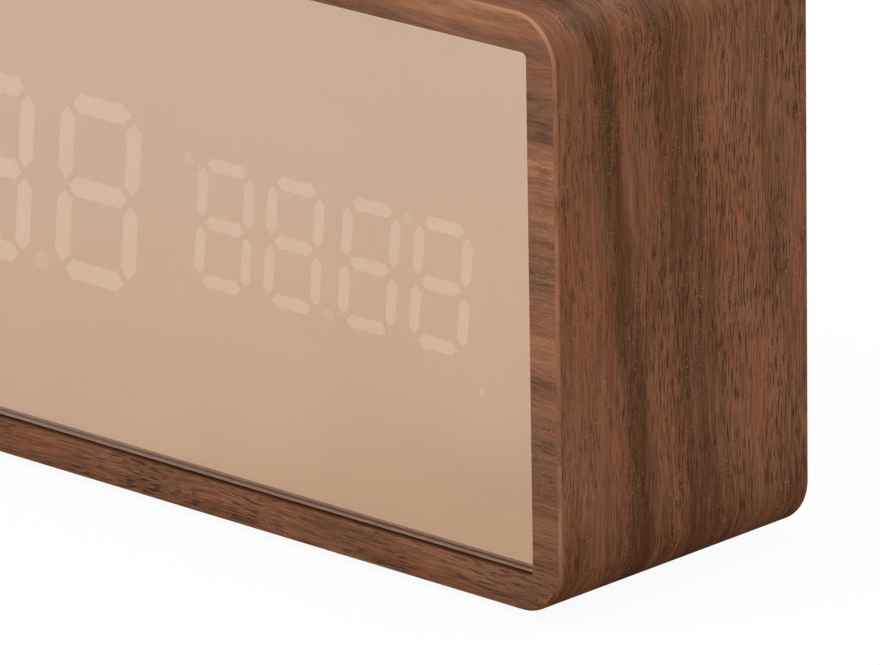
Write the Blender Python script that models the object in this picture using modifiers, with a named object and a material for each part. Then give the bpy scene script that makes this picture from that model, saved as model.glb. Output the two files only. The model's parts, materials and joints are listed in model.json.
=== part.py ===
"""Digital alarm clock in a veneered box case, in metres with +Z up.

The clock stands on z = 0, centred on x and y, with its display towards -Y.
A wooden sleeve holds a moulded frame. The frame carries the tinted lens and
the seven-segment display in front, and the rear cover closes it behind. The
cover holds the batteries, the keys and the supply socket.
"""
import math

import bmesh
import bpy
from mathutils import Vector

# Clearances shared by all pieces
FIT_GAP = 0.0003
GLUE_GAP = 0.00015
CUT_OVERRUN = 0.0010
JOIN_DEPTH = 0.0003

# Wooden sleeve
CASE_WIDTH = 0.1600
CASE_HEIGHT = 0.0750
CASE_DEPTH = 0.0450
CASE_WALL = 0.0047
CASE_CORNER_RADIUS = 0.0065
CASE_ARRIS = 0.0004
OPENING_RADIUS = 0.0006

# Rubber feet
FOOT_RADIUS = 0.0050
FOOT_HEIGHT = 0.0010
FOOT_EDGE = 0.0003
FOOT_INSET_X = 0.0160
FOOT_INSET_Y = 0.0095

# Tinted lens and the tape that holds it
LENS_RECESS = 0.0005
LENS_THICKNESS = 0.0020
LENS_EDGE = 0.0002
TAPE_THICKNESS = 0.0005
TAPE_WIDTH = 0.0035
TAPE_INSET = 0.0006

# Moulded inner frame
FRAME_PLATE = 0.0020
FRAME_WALL = 0.0016
FRAME_CORNER = 0.0010
POST_RADIUS = 0.0032
POST_INSET = 0.0042
STANDOFF_RADIUS = 0.0026
STANDOFF_INSET_X = 0.0200
STANDOFF_INSET_Z = 0.0075
PILOT_RADIUS = 0.0013
PILOT_DEPTH = 0.0090

# Seven-segment digits, measured between the segments' centre lines
DIGIT_SLANT_SHARE = 0.096
SEGMENT_TIP_GAP = 0.00045
LARGE_HEIGHT = 0.0221
LARGE_STROKE = 0.0029
LARGE_GAP = 0.0043
LARGE_DOT_RADIUS = 0.0015
COLON_SPREAD = 0.0100
SMALL_HEIGHT = 0.01525
SMALL_STROKE = 0.0020
SMALL_GAP = 0.0020
SMALL_DOT_RADIUS = 0.0010
SMALL_DOT_REACH = 0.0026
SIGNAL_DOT_RADIUS = 0.0008
SIGNAL_DOT_REACH = 0.0077
SIGNAL_DOT_DROP = 0.0045

# Digit blocks and the light guides that fill their slots
BLOCK_DEPTH = 0.0065
BLOCK_FACE = 0.0045
BLOCK_WALL = 0.0009
BLOCK_MARGIN = 0.0016
BLOCK_CORNER = 0.0010
GUIDE_WEB = 0.0008
GUIDE_GAP = 0.00015
GUIDE_RECESS = 0.0001

# Display board
BOARD_THICKNESS = 0.0016
BOARD_CLEARANCE = 0.0005
LED_LENGTH = 0.0016
LED_WIDTH = 0.0008
LED_HEIGHT = 0.0007
CHIP_LENGTH = 0.0100
CHIP_WIDTH = 0.0075
CHIP_HEIGHT = 0.0016
CHIP_EDGE = 0.0002
DRIVER_INSET_X = 0.0430
SOCKET_LENGTH = 0.0140
SOCKET_WIDTH = 0.0040
SOCKET_HEIGHT = 0.0050
SOCKET_INSET_X = 0.0320
DISPLAY_SOCKET_INSET_Z = 0.0054

# Ribbon cable between the two boards
RIBBON_WIDTH = 0.0120
RIBBON_THICKNESS = 0.0009

# Rear cover
COVER_RECESS = 0.0010
COVER_THICKNESS = 0.0020
COVER_CORNER = 0.0015
SCREW_BORE_RADIUS = 0.0015
COUNTERBORE_RADIUS = 0.0031
COUNTERBORE_DEPTH = 0.0009

# Screws
SCREW_HEAD_RADIUS = 0.0024
SCREW_HEAD_HEIGHT = 0.0013
SCREW_HEAD_TAPER = 0.0004
SCREW_SHANK_RADIUS = 0.0010
SCREW_LENGTH = 0.0070
CROSS_LENGTH = 0.0028
CROSS_WIDTH = 0.0007
CROSS_DEPTH = 0.0007

# Battery cells and bay
CELL_RADIUS = 0.00525
CELL_LENGTH = 0.0445
CELL_NUB_RADIUS = 0.0019
CELL_NUB_HEIGHT = 0.0012
CELL_EDGE = 0.0005
CELL_PITCH = 0.0114
CELL_PLAY = 0.0003
BAY_LEDGE = 0.0010
BAY_WALL = 0.0012
BAY_FLOOR = 0.0012
BAY_SPARE = 0.0018
CONTACT_THICKNESS = 0.0004
CONTACT_WIDTH = 0.0090
SPRING_LENGTH = 0.0034
SPRING_RADIUS = 0.0034
SPRING_TIP_RADIUS = 0.0024
SPRING_WIRE = 0.0006

# Battery door
DOOR_THICKNESS = 0.0016
DOOR_CORNER = 0.0020
DOOR_SLIT = 0.0006
TONGUE_WIDTH = 0.0100
TONGUE_LENGTH = 0.0080
TONGUE_MARGIN = 0.0020
RIDGE_LENGTH = 0.0070
RIDGE_WIDTH = 0.0006
RIDGE_HEIGHT = 0.0004
RIDGE_PITCH = 0.0014
LUG_WIDTH = 0.0060
LUG_THICKNESS = 0.0010
LUG_LENGTH = 0.0015
LUG_SPREAD = 0.0220

# Control board on the rear cover
CONTROL_MARGIN = 0.0060
CONTROL_GAP = 0.0040
CONTROL_Z = -0.0005
CONTROL_HEIGHT = 0.0330
CONTROL_STANDOFF = 0.0067
CONTROL_POST_RADIUS = 0.0024
CONTROL_POST_INSET = 0.0040
CONTROL_SOCKET_Z = -0.0120
CLOCK_CHIP_Z = 0.0060

# Keys and their switches
KEY_INSET_X = 0.0190
KEY_PITCH = 0.0092
KEY_Z = 0.0090
KEY_RADIUS = 0.0033
KEY_RISE = 0.0008
KEY_EDGE = 0.0004
KEY_FLANGE_RADIUS = 0.0042
KEY_FLANGE = 0.0009
KEY_STEM_RADIUS = 0.0014
KEY_STEM_ENGAGE = 0.0007
KEY_SWITCH_SIZE = 0.0060
KEY_SWITCH_HEIGHT = 0.0036
KEY_SWITCH_BORE_RADIUS = 0.0018
KEY_SWITCH_BORE_DEPTH = 0.0016

# Alarm slide switch
SLIDE_INSET_X = 0.0090
SLIDE_LENGTH = 0.0086
SLIDE_WIDTH = 0.0038
SLIDE_HEIGHT = 0.0036
SLIDE_TRAVEL = 0.0020
SLIDE_SLOT_DEPTH = 0.0012
KNOB_LENGTH = 0.0022
KNOB_WIDTH = 0.0016
KNOB_RISE = 0.0006
KNOB_EDGE = 0.0002

# Sounder, supply socket and temperature sensor
LOWER_ROW_Z = -0.0100
SOUNDER_INSET_X = 0.0410
SOUNDER_RADIUS = 0.0060
SOUNDER_HEIGHT = 0.0060
SOUNDER_PORT_RADIUS = 0.0010
SOUNDER_PORT_DEPTH = 0.0020
SOUND_HOLE_RADIUS = 0.0007
SOUND_RING_RADIUS = 0.0032
SENSOR_INSET_X = 0.0260
SENSOR_RADIUS = 0.0012
SENSOR_LEG_RADIUS = 0.0005
SENSOR_HEIGHT = 0.0055
SENSOR_ARC = 150
VENT_LENGTH = 0.0070
VENT_WIDTH = 0.0012
VENT_PITCH = 0.0026
INLET_INSET_X = 0.0090
INLET_LENGTH = 0.0078
INLET_WIDTH = 0.0032
INLET_SHELL = 0.0004
INLET_MOUTH_DEPTH = 0.0050
INLET_SETBACK = 0.0003

# Battery leads
LEAD_RADIUS = 0.0006
LEAD_BOW = 0.0090
LEAD_INSET = 0.0030
LEAD_END_INSET = 0.0050
RED_END_Z = 0.0110
BLACK_END_Z = -0.0080

# Centres of the digits along the display, as shares of the lens's width
LARGE_PLACE_SHARES = (-0.3887, -0.2620, -0.1267, 0.0)
SMALL_PLACE_SHARES = (0.1480, 0.2280, 0.3133, 0.3933)

# Counts that set how finely round shapes are faceted
CORNER_STEPS = 6
SMALL_CORNER_STEPS = 3
ROUND_STEPS = 16
SMALL_ROUND_STEPS = 12
DOT_SIDES = 8
SPRING_TURNS = 3
SPRING_TURN_POINTS = 9
LEAD_POINTS = 14
RIBBON_POINTS = 12
KEY_NAMES = ("set_key", "up_key", "down_key", "alarm_key")
CELL_SIGNS = (1, -1, 1)
VENT_COUNT = 3
SOUND_RING_COUNT = 6
RIDGE_COUNT = 3

# Places worked out from the sizes above, seen from the front face backwards
CASE_BOTTOM = FOOT_HEIGHT + GLUE_GAP
CENTRE_Z = CASE_BOTTOM + CASE_HEIGHT / 2
FRONT = -CASE_DEPTH / 2
BACK = CASE_DEPTH / 2
OPENING_WIDTH = CASE_WIDTH - 2 * CASE_WALL
OPENING_HEIGHT = CASE_HEIGHT - 2 * CASE_WALL
LENS_FRONT = FRONT + LENS_RECESS
LENS_BACK = LENS_FRONT + LENS_THICKNESS
LENS_WIDTH = OPENING_WIDTH - 2 * FIT_GAP
LENS_HEIGHT = OPENING_HEIGHT - 2 * FIT_GAP
TAPE_FRONT = LENS_BACK + GLUE_GAP
TAPE_BACK = TAPE_FRONT + TAPE_THICKNESS
FRAME_FRONT = TAPE_BACK + GLUE_GAP
FRAME_PLATE_BACK = FRAME_FRONT + FRAME_PLATE
FRAME_WIDTH = OPENING_WIDTH - 2 * FIT_GAP
FRAME_HEIGHT = OPENING_HEIGHT - 2 * FIT_GAP
BLOCK_FRONT = LENS_BACK + FIT_GAP
BLOCK_FACE_BACK = BLOCK_FRONT + BLOCK_FACE
BLOCK_BACK = BLOCK_FRONT + BLOCK_DEPTH
GUIDE_FRONT = BLOCK_FRONT + GUIDE_RECESS
WEB_FRONT = BLOCK_FACE_BACK + GUIDE_GAP
WEB_BACK = WEB_FRONT + GUIDE_WEB
BOARD_FRONT = BLOCK_BACK + FIT_GAP
BOARD_BACK = BOARD_FRONT + BOARD_THICKNESS
BOARD_WIDTH = FRAME_WIDTH - 2 * FRAME_WALL - 2 * BOARD_CLEARANCE
BOARD_HEIGHT = FRAME_HEIGHT - 2 * FRAME_WALL - 2 * BOARD_CLEARANCE
POST_X = FRAME_WIDTH / 2 - POST_INSET
POST_Z = FRAME_HEIGHT / 2 - POST_INSET
STANDOFF_X = FRAME_WIDTH / 2 - STANDOFF_INSET_X
STANDOFF_Z = FRAME_HEIGHT / 2 - STANDOFF_INSET_Z
LARGE_PLACES = [share * LENS_WIDTH for share in LARGE_PLACE_SHARES]
SMALL_PLACES = [share * LENS_WIDTH for share in SMALL_PLACE_SHARES]
LARGE_WIDTH = LARGE_PLACES[-1] - LARGE_PLACES[-2] - LARGE_STROKE - LARGE_GAP
SMALL_WIDTH = SMALL_PLACES[-1] - SMALL_PLACES[-2] - SMALL_STROKE - SMALL_GAP
DRIVER_X = DRIVER_INSET_X - BOARD_WIDTH / 2
DISPLAY_SOCKET_Z = DISPLAY_SOCKET_INSET_Z - BOARD_HEIGHT / 2
COVER_BACK = BACK - COVER_RECESS
COVER_FRONT = COVER_BACK - COVER_THICKNESS
CONTROL_BACK = COVER_FRONT - CONTROL_STANDOFF - FIT_GAP
CONTROL_FRONT = CONTROL_BACK - BOARD_THICKNESS
BAY_LENGTH = CELL_LENGTH + SPRING_LENGTH + 2 * CONTACT_THICKNESS + BAY_SPARE
BAY_HEIGHT = len(CELL_SIGNS) * CELL_PITCH
POCKET_LENGTH = BAY_LENGTH + 2 * BAY_LEDGE
POCKET_HEIGHT = BAY_HEIGHT + 2 * BAY_LEDGE
DOOR_LENGTH = POCKET_LENGTH - 2 * FIT_GAP
DOOR_HEIGHT = POCKET_HEIGHT - 2 * FIT_GAP
DOOR_FRONT = COVER_BACK - DOOR_THICKNESS
BAY_MOUTH = DOOR_FRONT - FIT_GAP
CELL_Y = BAY_MOUTH - LUG_LENGTH - FIT_GAP - CELL_RADIUS
BAY_BOTTOM = CELL_Y - CELL_RADIUS - CELL_PLAY
TUB_FRONT = BAY_BOTTOM - BAY_FLOOR
TUB_LENGTH = POCKET_LENGTH + 2 * BAY_WALL
TUB_HEIGHT = POCKET_HEIGHT + 2 * BAY_WALL
BAY_MARGIN = POST_INSET + POST_RADIUS + BOARD_CLEARANCE
BAY_X = BAY_MARGIN + TUB_LENGTH / 2 - FRAME_WIDTH / 2
CONTROL_LEFT = BAY_X + TUB_LENGTH / 2 + CONTROL_GAP
CONTROL_RIGHT = FRAME_WIDTH / 2 - CONTROL_MARGIN
CONTROL_WIDTH = CONTROL_RIGHT - CONTROL_LEFT
CONTROL_X = (CONTROL_LEFT + CONTROL_RIGHT) / 2
SOCKET_X = CONTROL_RIGHT - SOCKET_INSET_X
SLIDE_X = CONTROL_RIGHT - SLIDE_INSET_X
SOUNDER_X = CONTROL_RIGHT - SOUNDER_INSET_X
SENSOR_X = CONTROL_RIGHT - SENSOR_INSET_X
INLET_X = CONTROL_RIGHT - INLET_INSET_X

# Colours as base colour, roughness and metallic value
FINISHES = {
    "walnut_veneer": ((0.160, 0.060, 0.032), 0.45, 0.0),
    "tinted_mirror": ((0.600, 0.430, 0.310), 0.08, 0.9),
    "black_foam": ((0.020, 0.020, 0.020), 0.9, 0.0),
    "black_plastic": ((0.025, 0.024, 0.024), 0.5, 0.0),
    "grey_plastic": ((0.060, 0.050, 0.045), 0.6, 0.0),
    "milky_plastic": ((0.850, 0.760, 0.640), 0.4, 0.0),
    "board_green": ((0.020, 0.150, 0.060), 0.5, 0.0),
    "chip_black": ((0.015, 0.015, 0.016), 0.4, 0.0),
    "socket_cream": ((0.700, 0.660, 0.560), 0.5, 0.0),
    "ribbon_grey": ((0.450, 0.450, 0.460), 0.6, 0.0),
    "steel": ((0.600, 0.600, 0.600), 0.3, 1.0),
    "spring_nickel": ((0.700, 0.680, 0.640), 0.25, 1.0),
    "cell_wrap": ((0.080, 0.085, 0.095), 0.3, 0.2),
    "rubber": ((0.030, 0.030, 0.030), 0.8, 0.0),
    "lead_red": ((0.550, 0.020, 0.015), 0.5, 0.0),
    "lead_black": ((0.020, 0.020, 0.022), 0.5, 0.0),
}

TOWARDS_BACK = (-math.pi / 2, 0.0, 0.0)
TOWARDS_FRONT = (math.pi / 2, 0.0, 0.0)
WELD_DISTANCE = 0.000001
SMOOTH_ANGLE = math.radians(35)
EDGE_ANGLE = math.radians(50)


def start_collection(name):
    """Return an empty collection of that name, linked to the scene."""
    old = bpy.data.collections.get(name)
    if old:
        bpy.data.collections.remove(old)
    collection = bpy.data.collections.new(name)
    bpy.context.scene.collection.children.link(collection)
    return collection


for leftover in list(bpy.data.objects):
    bpy.data.objects.remove(leftover, do_unlink=True)
PARTS = start_collection("Digital alarm clock")
CUTTERS = start_collection("Cutters")


def make_finish(name):
    """Return the material of that name, made on first use."""
    material = bpy.data.materials.get(name)
    if material is None:
        colour, roughness, metallic = FINISHES[name]
        material = bpy.data.materials.new(name)
        material.use_nodes = True
        shader = material.node_tree.nodes["Principled BSDF"]
        shader.inputs["Base Color"].default_value = (*colour, 1.0)
        shader.inputs["Roughness"].default_value = roughness
        shader.inputs["Metallic"].default_value = metallic
        material.diffuse_color = (*colour, 1.0)
    return material


def add_part(name, mesh, finish, location=(0.0, 0.0, 0.0), rotation=(0.0, 0.0, 0.0)):
    """Place a mesh as a named piece of the clock."""
    piece = bpy.data.objects.new(name, mesh)
    piece.location = location
    piece.rotation_euler = rotation
    if not mesh.materials:
        mesh.materials.append(make_finish(finish))
    mesh.shade_smooth()
    mesh.set_sharp_from_angle(angle=SMOOTH_ANGLE)
    PARTS.objects.link(piece)
    return piece


def add_cutter(name, mesh, location=(0.0, 0.0, 0.0), rotation=(0.0, 0.0, 0.0)):
    """Place a mesh as a guide that only shapes other pieces."""
    guide = bpy.data.objects.new(name, mesh)
    guide.location = location
    guide.rotation_euler = rotation
    guide.hide_render = True
    guide.display_type = "WIRE"
    CUTTERS.objects.link(guide)
    return guide


def boolean(piece, tool, operation):
    """Cut a piece with a tool, or join the tool to it."""
    modifier = piece.modifiers.new(tool.name, "BOOLEAN")
    modifier.operation = operation
    modifier.object = tool
    modifier.solver = "EXACT"


def round_edges(piece, width, segments=1):
    """Ease the sharp edges of a piece."""
    modifier = piece.modifiers.new("Eased edges", "BEVEL")
    modifier.width = width
    modifier.segments = segments
    modifier.limit_method = "ANGLE"
    modifier.angle_limit = EDGE_ANGLE


def even_faces(piece):
    """Divide large pierced faces into well-shaped triangles."""
    modifier = piece.modifiers.new("Even faces", "TRIANGULATE")
    modifier.quad_method = "BEAUTY"
    modifier.ngon_method = "BEAUTY"


def bake(piece):
    """Turn a built-up piece into a plain mesh and remove the object."""
    bpy.context.view_layer.update()
    evaluated = piece.evaluated_get(bpy.context.evaluated_depsgraph_get())
    mesh = bpy.data.meshes.new_from_object(evaluated)
    bpy.data.objects.remove(piece, do_unlink=True)
    return mesh


def weld(mesh):
    """Merge the points that a curve's caps and sides share."""
    work = bmesh.new()
    work.from_mesh(mesh)
    bmesh.ops.remove_doubles(work, verts=work.verts, dist=WELD_DISTANCE)
    bmesh.ops.recalc_face_normals(work, faces=work.faces)
    work.to_mesh(mesh)
    work.free()
    return mesh


def rounded_rectangle(width, height, radius, centre=(0.0, 0.0), steps=CORNER_STEPS):
    """Return an outline with round corners, as points in x and z."""
    points = []
    corners = ((1, -1, -90), (1, 1, 0), (-1, 1, 90), (-1, -1, 180))
    for side_x, side_z, start in corners:
        corner_x = centre[0] + side_x * (width / 2 - radius)
        corner_z = centre[1] + side_z * (height / 2 - radius)
        for step in range(steps + 1):
            angle = math.radians(start + 90 * step / steps)
            points.append((corner_x + radius * math.cos(angle), corner_z + radius * math.sin(angle)))
    return points


def rectangle(width, height, centre=(0.0, 0.0)):
    """Return a plain rectangular outline."""
    sides = ((1, -1), (1, 1), (-1, 1), (-1, -1))
    return [(centre[0] + x * width / 2, centre[1] + z * height / 2) for x, z in sides]


def circle(radius, centre=(0.0, 0.0), sides=SMALL_ROUND_STEPS):
    """Return a round outline."""
    angles = [2 * math.pi * side / sides for side in range(sides)]
    return [(centre[0] + radius * math.cos(a), centre[1] + radius * math.sin(a)) for a in angles]


def outline_mesh(name, outlines, thickness):
    """Fill flat outlines that lie beside each other, to a given thickness."""
    curve = bpy.data.curves.new(name, "CURVE")
    curve.dimensions = "2D"
    curve.fill_mode = "BOTH"
    curve.extrude = thickness / 2
    for outline in outlines:
        spline = curve.splines.new("POLY")
        spline.points.add(len(outline) - 1)
        for point, (x, z) in zip(spline.points, outline):
            point.co = (x, z, 0.0, 1.0)
        spline.use_cyclic_u = True
    flat = bpy.data.objects.new(name, curve)
    CUTTERS.objects.link(flat)
    mesh = weld(bake(flat))
    bpy.data.curves.remove(curve)
    mesh.name = name
    return mesh


def upright(outlines, name, front, back):
    """Return a mesh and place for outlines that face the front of the clock."""
    mesh = outline_mesh(name, outlines, back - front)
    return mesh, (0.0, (front + back) / 2, CENTRE_Z), TOWARDS_FRONT


def plate(name, outline, front, back, finish):
    """Add a flat piece between two depths."""
    mesh, location, rotation = upright([outline], name, front, back)
    return add_part(name, mesh, finish, location, rotation)


def plate_cutter(name, outlines, front, back):
    """Add a flat cutter between two depths."""
    mesh, location, rotation = upright(outlines, name, front, back)
    return add_cutter(name, mesh, location, rotation)


def cut_through(piece, name, outlines, front, back):
    """Cut outlines right through a piece, past both of its faces."""
    tool = plate_cutter(name, outlines, front - CUT_OVERRUN, back + CUT_OVERRUN)
    boolean(piece, tool, "DIFFERENCE")


def cut_from_back(piece, name, outlines, floor, back):
    """Cut outlines into a piece from behind, down to a floor."""
    tool = plate_cutter(name, outlines, floor, back + CUT_OVERRUN)
    boolean(piece, tool, "DIFFERENCE")


def join_plate(piece, name, outlines, front, back):
    """Join raised outlines to a piece."""
    boolean(piece, plate_cutter(name, outlines, front, back), "UNION")


def turned_mesh(name, profile, steps=ROUND_STEPS):
    """Turn a profile of radius and height, listed from the top down, about z."""
    mesh = bpy.data.meshes.new(name)
    points = [(radius, 0.0, height) for radius, height in profile]
    edges = [(index, index + 1) for index in range(len(points) - 1)]
    mesh.from_pydata(points, edges, [])
    blank = bpy.data.objects.new(name, mesh)
    CUTTERS.objects.link(blank)
    screw = blank.modifiers.new("Turn", "SCREW")
    screw.steps = steps
    screw.render_steps = steps
    screw.use_merge_vertices = True
    screw.merge_threshold = WELD_DISTANCE
    turned = bake(blank)
    bpy.data.meshes.remove(mesh)
    turned.name = name
    return turned


def box_mesh(name, width, depth, height, edge=0.0):
    """Return a box centred on its origin, with eased edges where asked."""
    work = bmesh.new()
    bmesh.ops.create_cube(work, size=1.0)
    bmesh.ops.scale(work, vec=(width, depth, height), verts=work.verts)
    if edge:
        bmesh.ops.bevel(work, geom=work.edges, offset=edge, segments=1, affect="EDGES", profile=0.5)
    mesh = bpy.data.meshes.new(name)
    work.to_mesh(mesh)
    work.free()
    return mesh


def four_corners(x, z):
    """Return the four places at plus and minus x and z."""
    return [(side_x * x, side_z * z) for side_x in (-1, 1) for side_z in (-1, 1)]


def case_sleeve():
    """The veneered wooden sleeve: round outside, with a square-cornered opening."""
    outer = rounded_rectangle(CASE_WIDTH, CASE_HEIGHT, CASE_CORNER_RADIUS)
    sleeve = plate("case_sleeve", outer, FRONT, BACK, "walnut_veneer")
    opening = rounded_rectangle(OPENING_WIDTH, OPENING_HEIGHT, OPENING_RADIUS, steps=SMALL_CORNER_STEPS)
    cut_through(sleeve, "sleeve_opening", [opening], FRONT, BACK)
    round_edges(sleeve, CASE_ARRIS, segments=2)


def feet():
    """Four turned rubber pads under the sleeve."""
    profile = [(0.0, FOOT_HEIGHT), (FOOT_RADIUS, FOOT_HEIGHT), (FOOT_RADIUS, FOOT_EDGE),
               (FOOT_RADIUS - FOOT_EDGE, 0.0), (0.0, 0.0)]
    mesh = turned_mesh("foot", profile)
    places = four_corners(CASE_WIDTH / 2 - FOOT_INSET_X, CASE_DEPTH / 2 - FOOT_INSET_Y)
    for number, (x, y) in enumerate(places, start=1):
        add_part(f"foot_{number}", mesh, "rubber", (x, y, 0.0))


def front_lens():
    """The tinted mirror lens, let into the sleeve's mouth."""
    lens = plate("front_lens", rectangle(LENS_WIDTH, LENS_HEIGHT), LENS_FRONT, LENS_BACK, "tinted_mirror")
    round_edges(lens, LENS_EDGE)


def lens_tape():
    """The foam tape round the lens's back."""
    width = LENS_WIDTH - 2 * TAPE_INSET
    height = LENS_HEIGHT - 2 * TAPE_INSET
    outer = rectangle(width, height)
    inner = rectangle(width - 2 * TAPE_WIDTH, height - 2 * TAPE_WIDTH)
    tape = plate("lens_tape", outer, TAPE_FRONT, TAPE_BACK, "black_foam")
    cut_through(tape, "tape_window", [inner], TAPE_FRONT, TAPE_BACK)


def segment(centre, length, stroke, is_vertical):
    """Return one pointed segment about its centre in an upright digit."""
    half = length / 2
    shoulder = half - stroke / 2
    shape = [(half, 0.0), (shoulder, stroke / 2), (-shoulder, stroke / 2),
             (-half, 0.0), (-shoulder, -stroke / 2), (shoulder, -stroke / 2)]
    if is_vertical:
        shape = [(-z, x) for x, z in shape]
    return [(centre[0] + x, centre[1] + z) for x, z in shape]


def digit(width, height, stroke, inset):
    """Return the seven segments of an upright digit about its centre."""
    tip = SEGMENT_TIP_GAP + inset * math.sqrt(2)
    across = width - 2 * tip
    upward = height / 2 - 2 * tip
    thick = stroke - 2 * inset
    shapes = [segment((0.0, z), across, thick, False) for z in (-height / 2, 0.0, height / 2)]
    for x, z in four_corners(width / 2, height / 4):
        shapes.append(segment((x, z), upward, thick, True))
    return shapes


def slanted(shapes, x_place):
    """Lean upright shapes over and move them along the display."""
    return [[(x_place + x + DIGIT_SLANT_SHARE * z, z) for x, z in shape] for shape in shapes]


def large_dots():
    """Return the colon and the low point of the large digits."""
    second, third, last = LARGE_PLACES[1:]
    colon = (second + third) / 2
    spots = [(colon, -COLON_SPREAD / 2), (colon, COLON_SPREAD / 2),
             ((third + last) / 2, -LARGE_HEIGHT / 2)]
    return [(x, z, LARGE_DOT_RADIUS) for x, z in spots]


def small_dots():
    """Return the points beside the small digits and the signal point below."""
    first, second, third, last = SMALL_PLACES
    high = SMALL_HEIGHT / 2
    ahead = SMALL_WIDTH / 2 + SMALL_DOT_REACH
    dots = [(first - ahead, high, SMALL_DOT_RADIUS), ((second + third) / 2, -high, SMALL_DOT_RADIUS),
            ((third + last) / 2, high, SMALL_DOT_RADIUS)]
    dots.append((last + SIGNAL_DOT_REACH, -high - SIGNAL_DOT_DROP, SIGNAL_DOT_RADIUS))
    return dots


def display_shapes(places, size, dots, inset):
    """Return every segment and point of one row of digits."""
    width, height, stroke = size
    shapes = []
    for place in places:
        shapes += slanted(digit(width, height, stroke, inset), place)
    for x, z, radius in dots:
        shapes.append(circle(radius - inset, (x + DIGIT_SLANT_SHARE * z, z), DOT_SIDES))
    return shapes


LARGE_SIZE = (LARGE_WIDTH, LARGE_HEIGHT, LARGE_STROKE)
SMALL_SIZE = (SMALL_WIDTH, SMALL_HEIGHT, SMALL_STROKE)
ROWS = {"large": (LARGE_PLACES, LARGE_SIZE, large_dots()),
        "small": (SMALL_PLACES, SMALL_SIZE, small_dots())}


def row_box(row):
    """Return the width, height and centre of a block that holds a row."""
    points = [point for shape in display_shapes(*ROWS[row], 0.0) for point in shape]
    left = min(x for x, z in points) - BLOCK_MARGIN
    right = max(x for x, z in points) + BLOCK_MARGIN
    low = min(z for x, z in points) - BLOCK_MARGIN
    high = max(z for x, z in points) + BLOCK_MARGIN
    return right - left, high - low, ((left + right) / 2, (low + high) / 2)


def row_outline(row, grow):
    """Return the outline of a row's block, grown by a clearance."""
    width, height, centre = row_box(row)
    return rounded_rectangle(width + 2 * grow, height + 2 * grow, BLOCK_CORNER + grow, centre,
                             SMALL_CORNER_STEPS)


def digit_block(row):
    """The block of a row: a thick face with a slot for each segment."""
    slots = display_shapes(*ROWS[row], 0.0)
    name = f"{row}_digit_block"
    block = plate(name, row_outline(row, 0.0), BLOCK_FRONT, BLOCK_BACK, "grey_plastic")
    cut_through(block, f"{row}_block_slots", slots, BLOCK_FRONT, BLOCK_BACK)
    width, height, centre = row_box(row)
    pocket = rectangle(width - 2 * BLOCK_WALL, height - 2 * BLOCK_WALL, centre)
    cut_from_back(block, f"{row}_block_pocket", [pocket], BLOCK_FACE_BACK, BLOCK_BACK)
    even_faces(block)


def light_guide(row):
    """The milky light guide whose raised segments fill the block's slots."""
    width, height, centre = row_box(row)
    play = 2 * (BLOCK_WALL + FIT_GAP)
    web = rectangle(width - play, height - play, centre)
    guide = plate(f"{row}_light_guide", web, WEB_FRONT, WEB_BACK, "milky_plastic")
    shapes = display_shapes(*ROWS[row], GUIDE_GAP)
    join_plate(guide, f"{row}_guide_segments", shapes, GUIDE_FRONT, WEB_FRONT + JOIN_DEPTH)
    even_faces(guide)


def inner_frame():
    """The moulded tray that carries lens, display and rear cover."""
    outer = rounded_rectangle(FRAME_WIDTH, FRAME_HEIGHT, FRAME_CORNER, steps=SMALL_CORNER_STEPS)
    rear = COVER_FRONT - FIT_GAP
    frame = plate("inner_frame", outer, FRAME_FRONT, rear, "black_plastic")
    room = rectangle(FRAME_WIDTH - 2 * FRAME_WALL, FRAME_HEIGHT - 2 * FRAME_WALL)
    cut_from_back(frame, "frame_room", [room], FRAME_PLATE_BACK, rear)
    posts = [circle(POST_RADIUS, place, ROUND_STEPS) for place in four_corners(POST_X, POST_Z)]
    join_plate(frame, "frame_posts", posts, FRAME_PLATE_BACK - JOIN_DEPTH, rear)
    studs = [circle(STANDOFF_RADIUS, place) for place in four_corners(STANDOFF_X, STANDOFF_Z)]
    join_plate(frame, "frame_standoffs", studs, FRAME_PLATE_BACK - JOIN_DEPTH, BOARD_FRONT - FIT_GAP)
    windows = [row_outline(row, FIT_GAP) for row in ROWS]
    cut_through(frame, "frame_windows", windows, FRAME_FRONT, FRAME_PLATE_BACK)
    post_bores = [circle(PILOT_RADIUS, place) for place in four_corners(POST_X, POST_Z)]
    cut_from_back(frame, "frame_post_bores", post_bores, rear - PILOT_DEPTH, rear)
    stud_bores = [circle(PILOT_RADIUS, place) for place in four_corners(STANDOFF_X, STANDOFF_Z)]
    cut_through(frame, "frame_stud_bores", stud_bores, FRAME_FRONT, BOARD_FRONT)
    even_faces(frame)


def display_board():
    """The display's circuit board, with a light for each segment."""
    outline = rectangle(BOARD_WIDTH, BOARD_HEIGHT)
    board = plate("display_board", outline, BOARD_FRONT, BOARD_BACK, "board_green")
    notch = 2 * (POST_RADIUS + BOARD_CLEARANCE)
    notches = [rectangle(notch, notch, place) for place in four_corners(POST_X, POST_Z)]
    cut_through(board, "display_board_notches", notches, BOARD_FRONT, BOARD_BACK)
    bores = [circle(SCREW_BORE_RADIUS, place) for place in four_corners(STANDOFF_X, STANDOFF_Z)]
    cut_through(board, "display_board_bores", bores, BOARD_FRONT, BOARD_BACK)
    lights = []
    for places, size, dots in ROWS.values():
        for shape in display_shapes(places, size, dots, 0.0):
            centre_x = sum(x for x, z in shape) / len(shape)
            centre_z = sum(z for x, z in shape) / len(shape)
            lights.append(rectangle(LED_LENGTH, LED_WIDTH, (centre_x, centre_z)))
    join_plate(board, "display_lights", lights, BOARD_FRONT - LED_HEIGHT, BOARD_FRONT + JOIN_DEPTH)
    even_faces(board)


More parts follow.
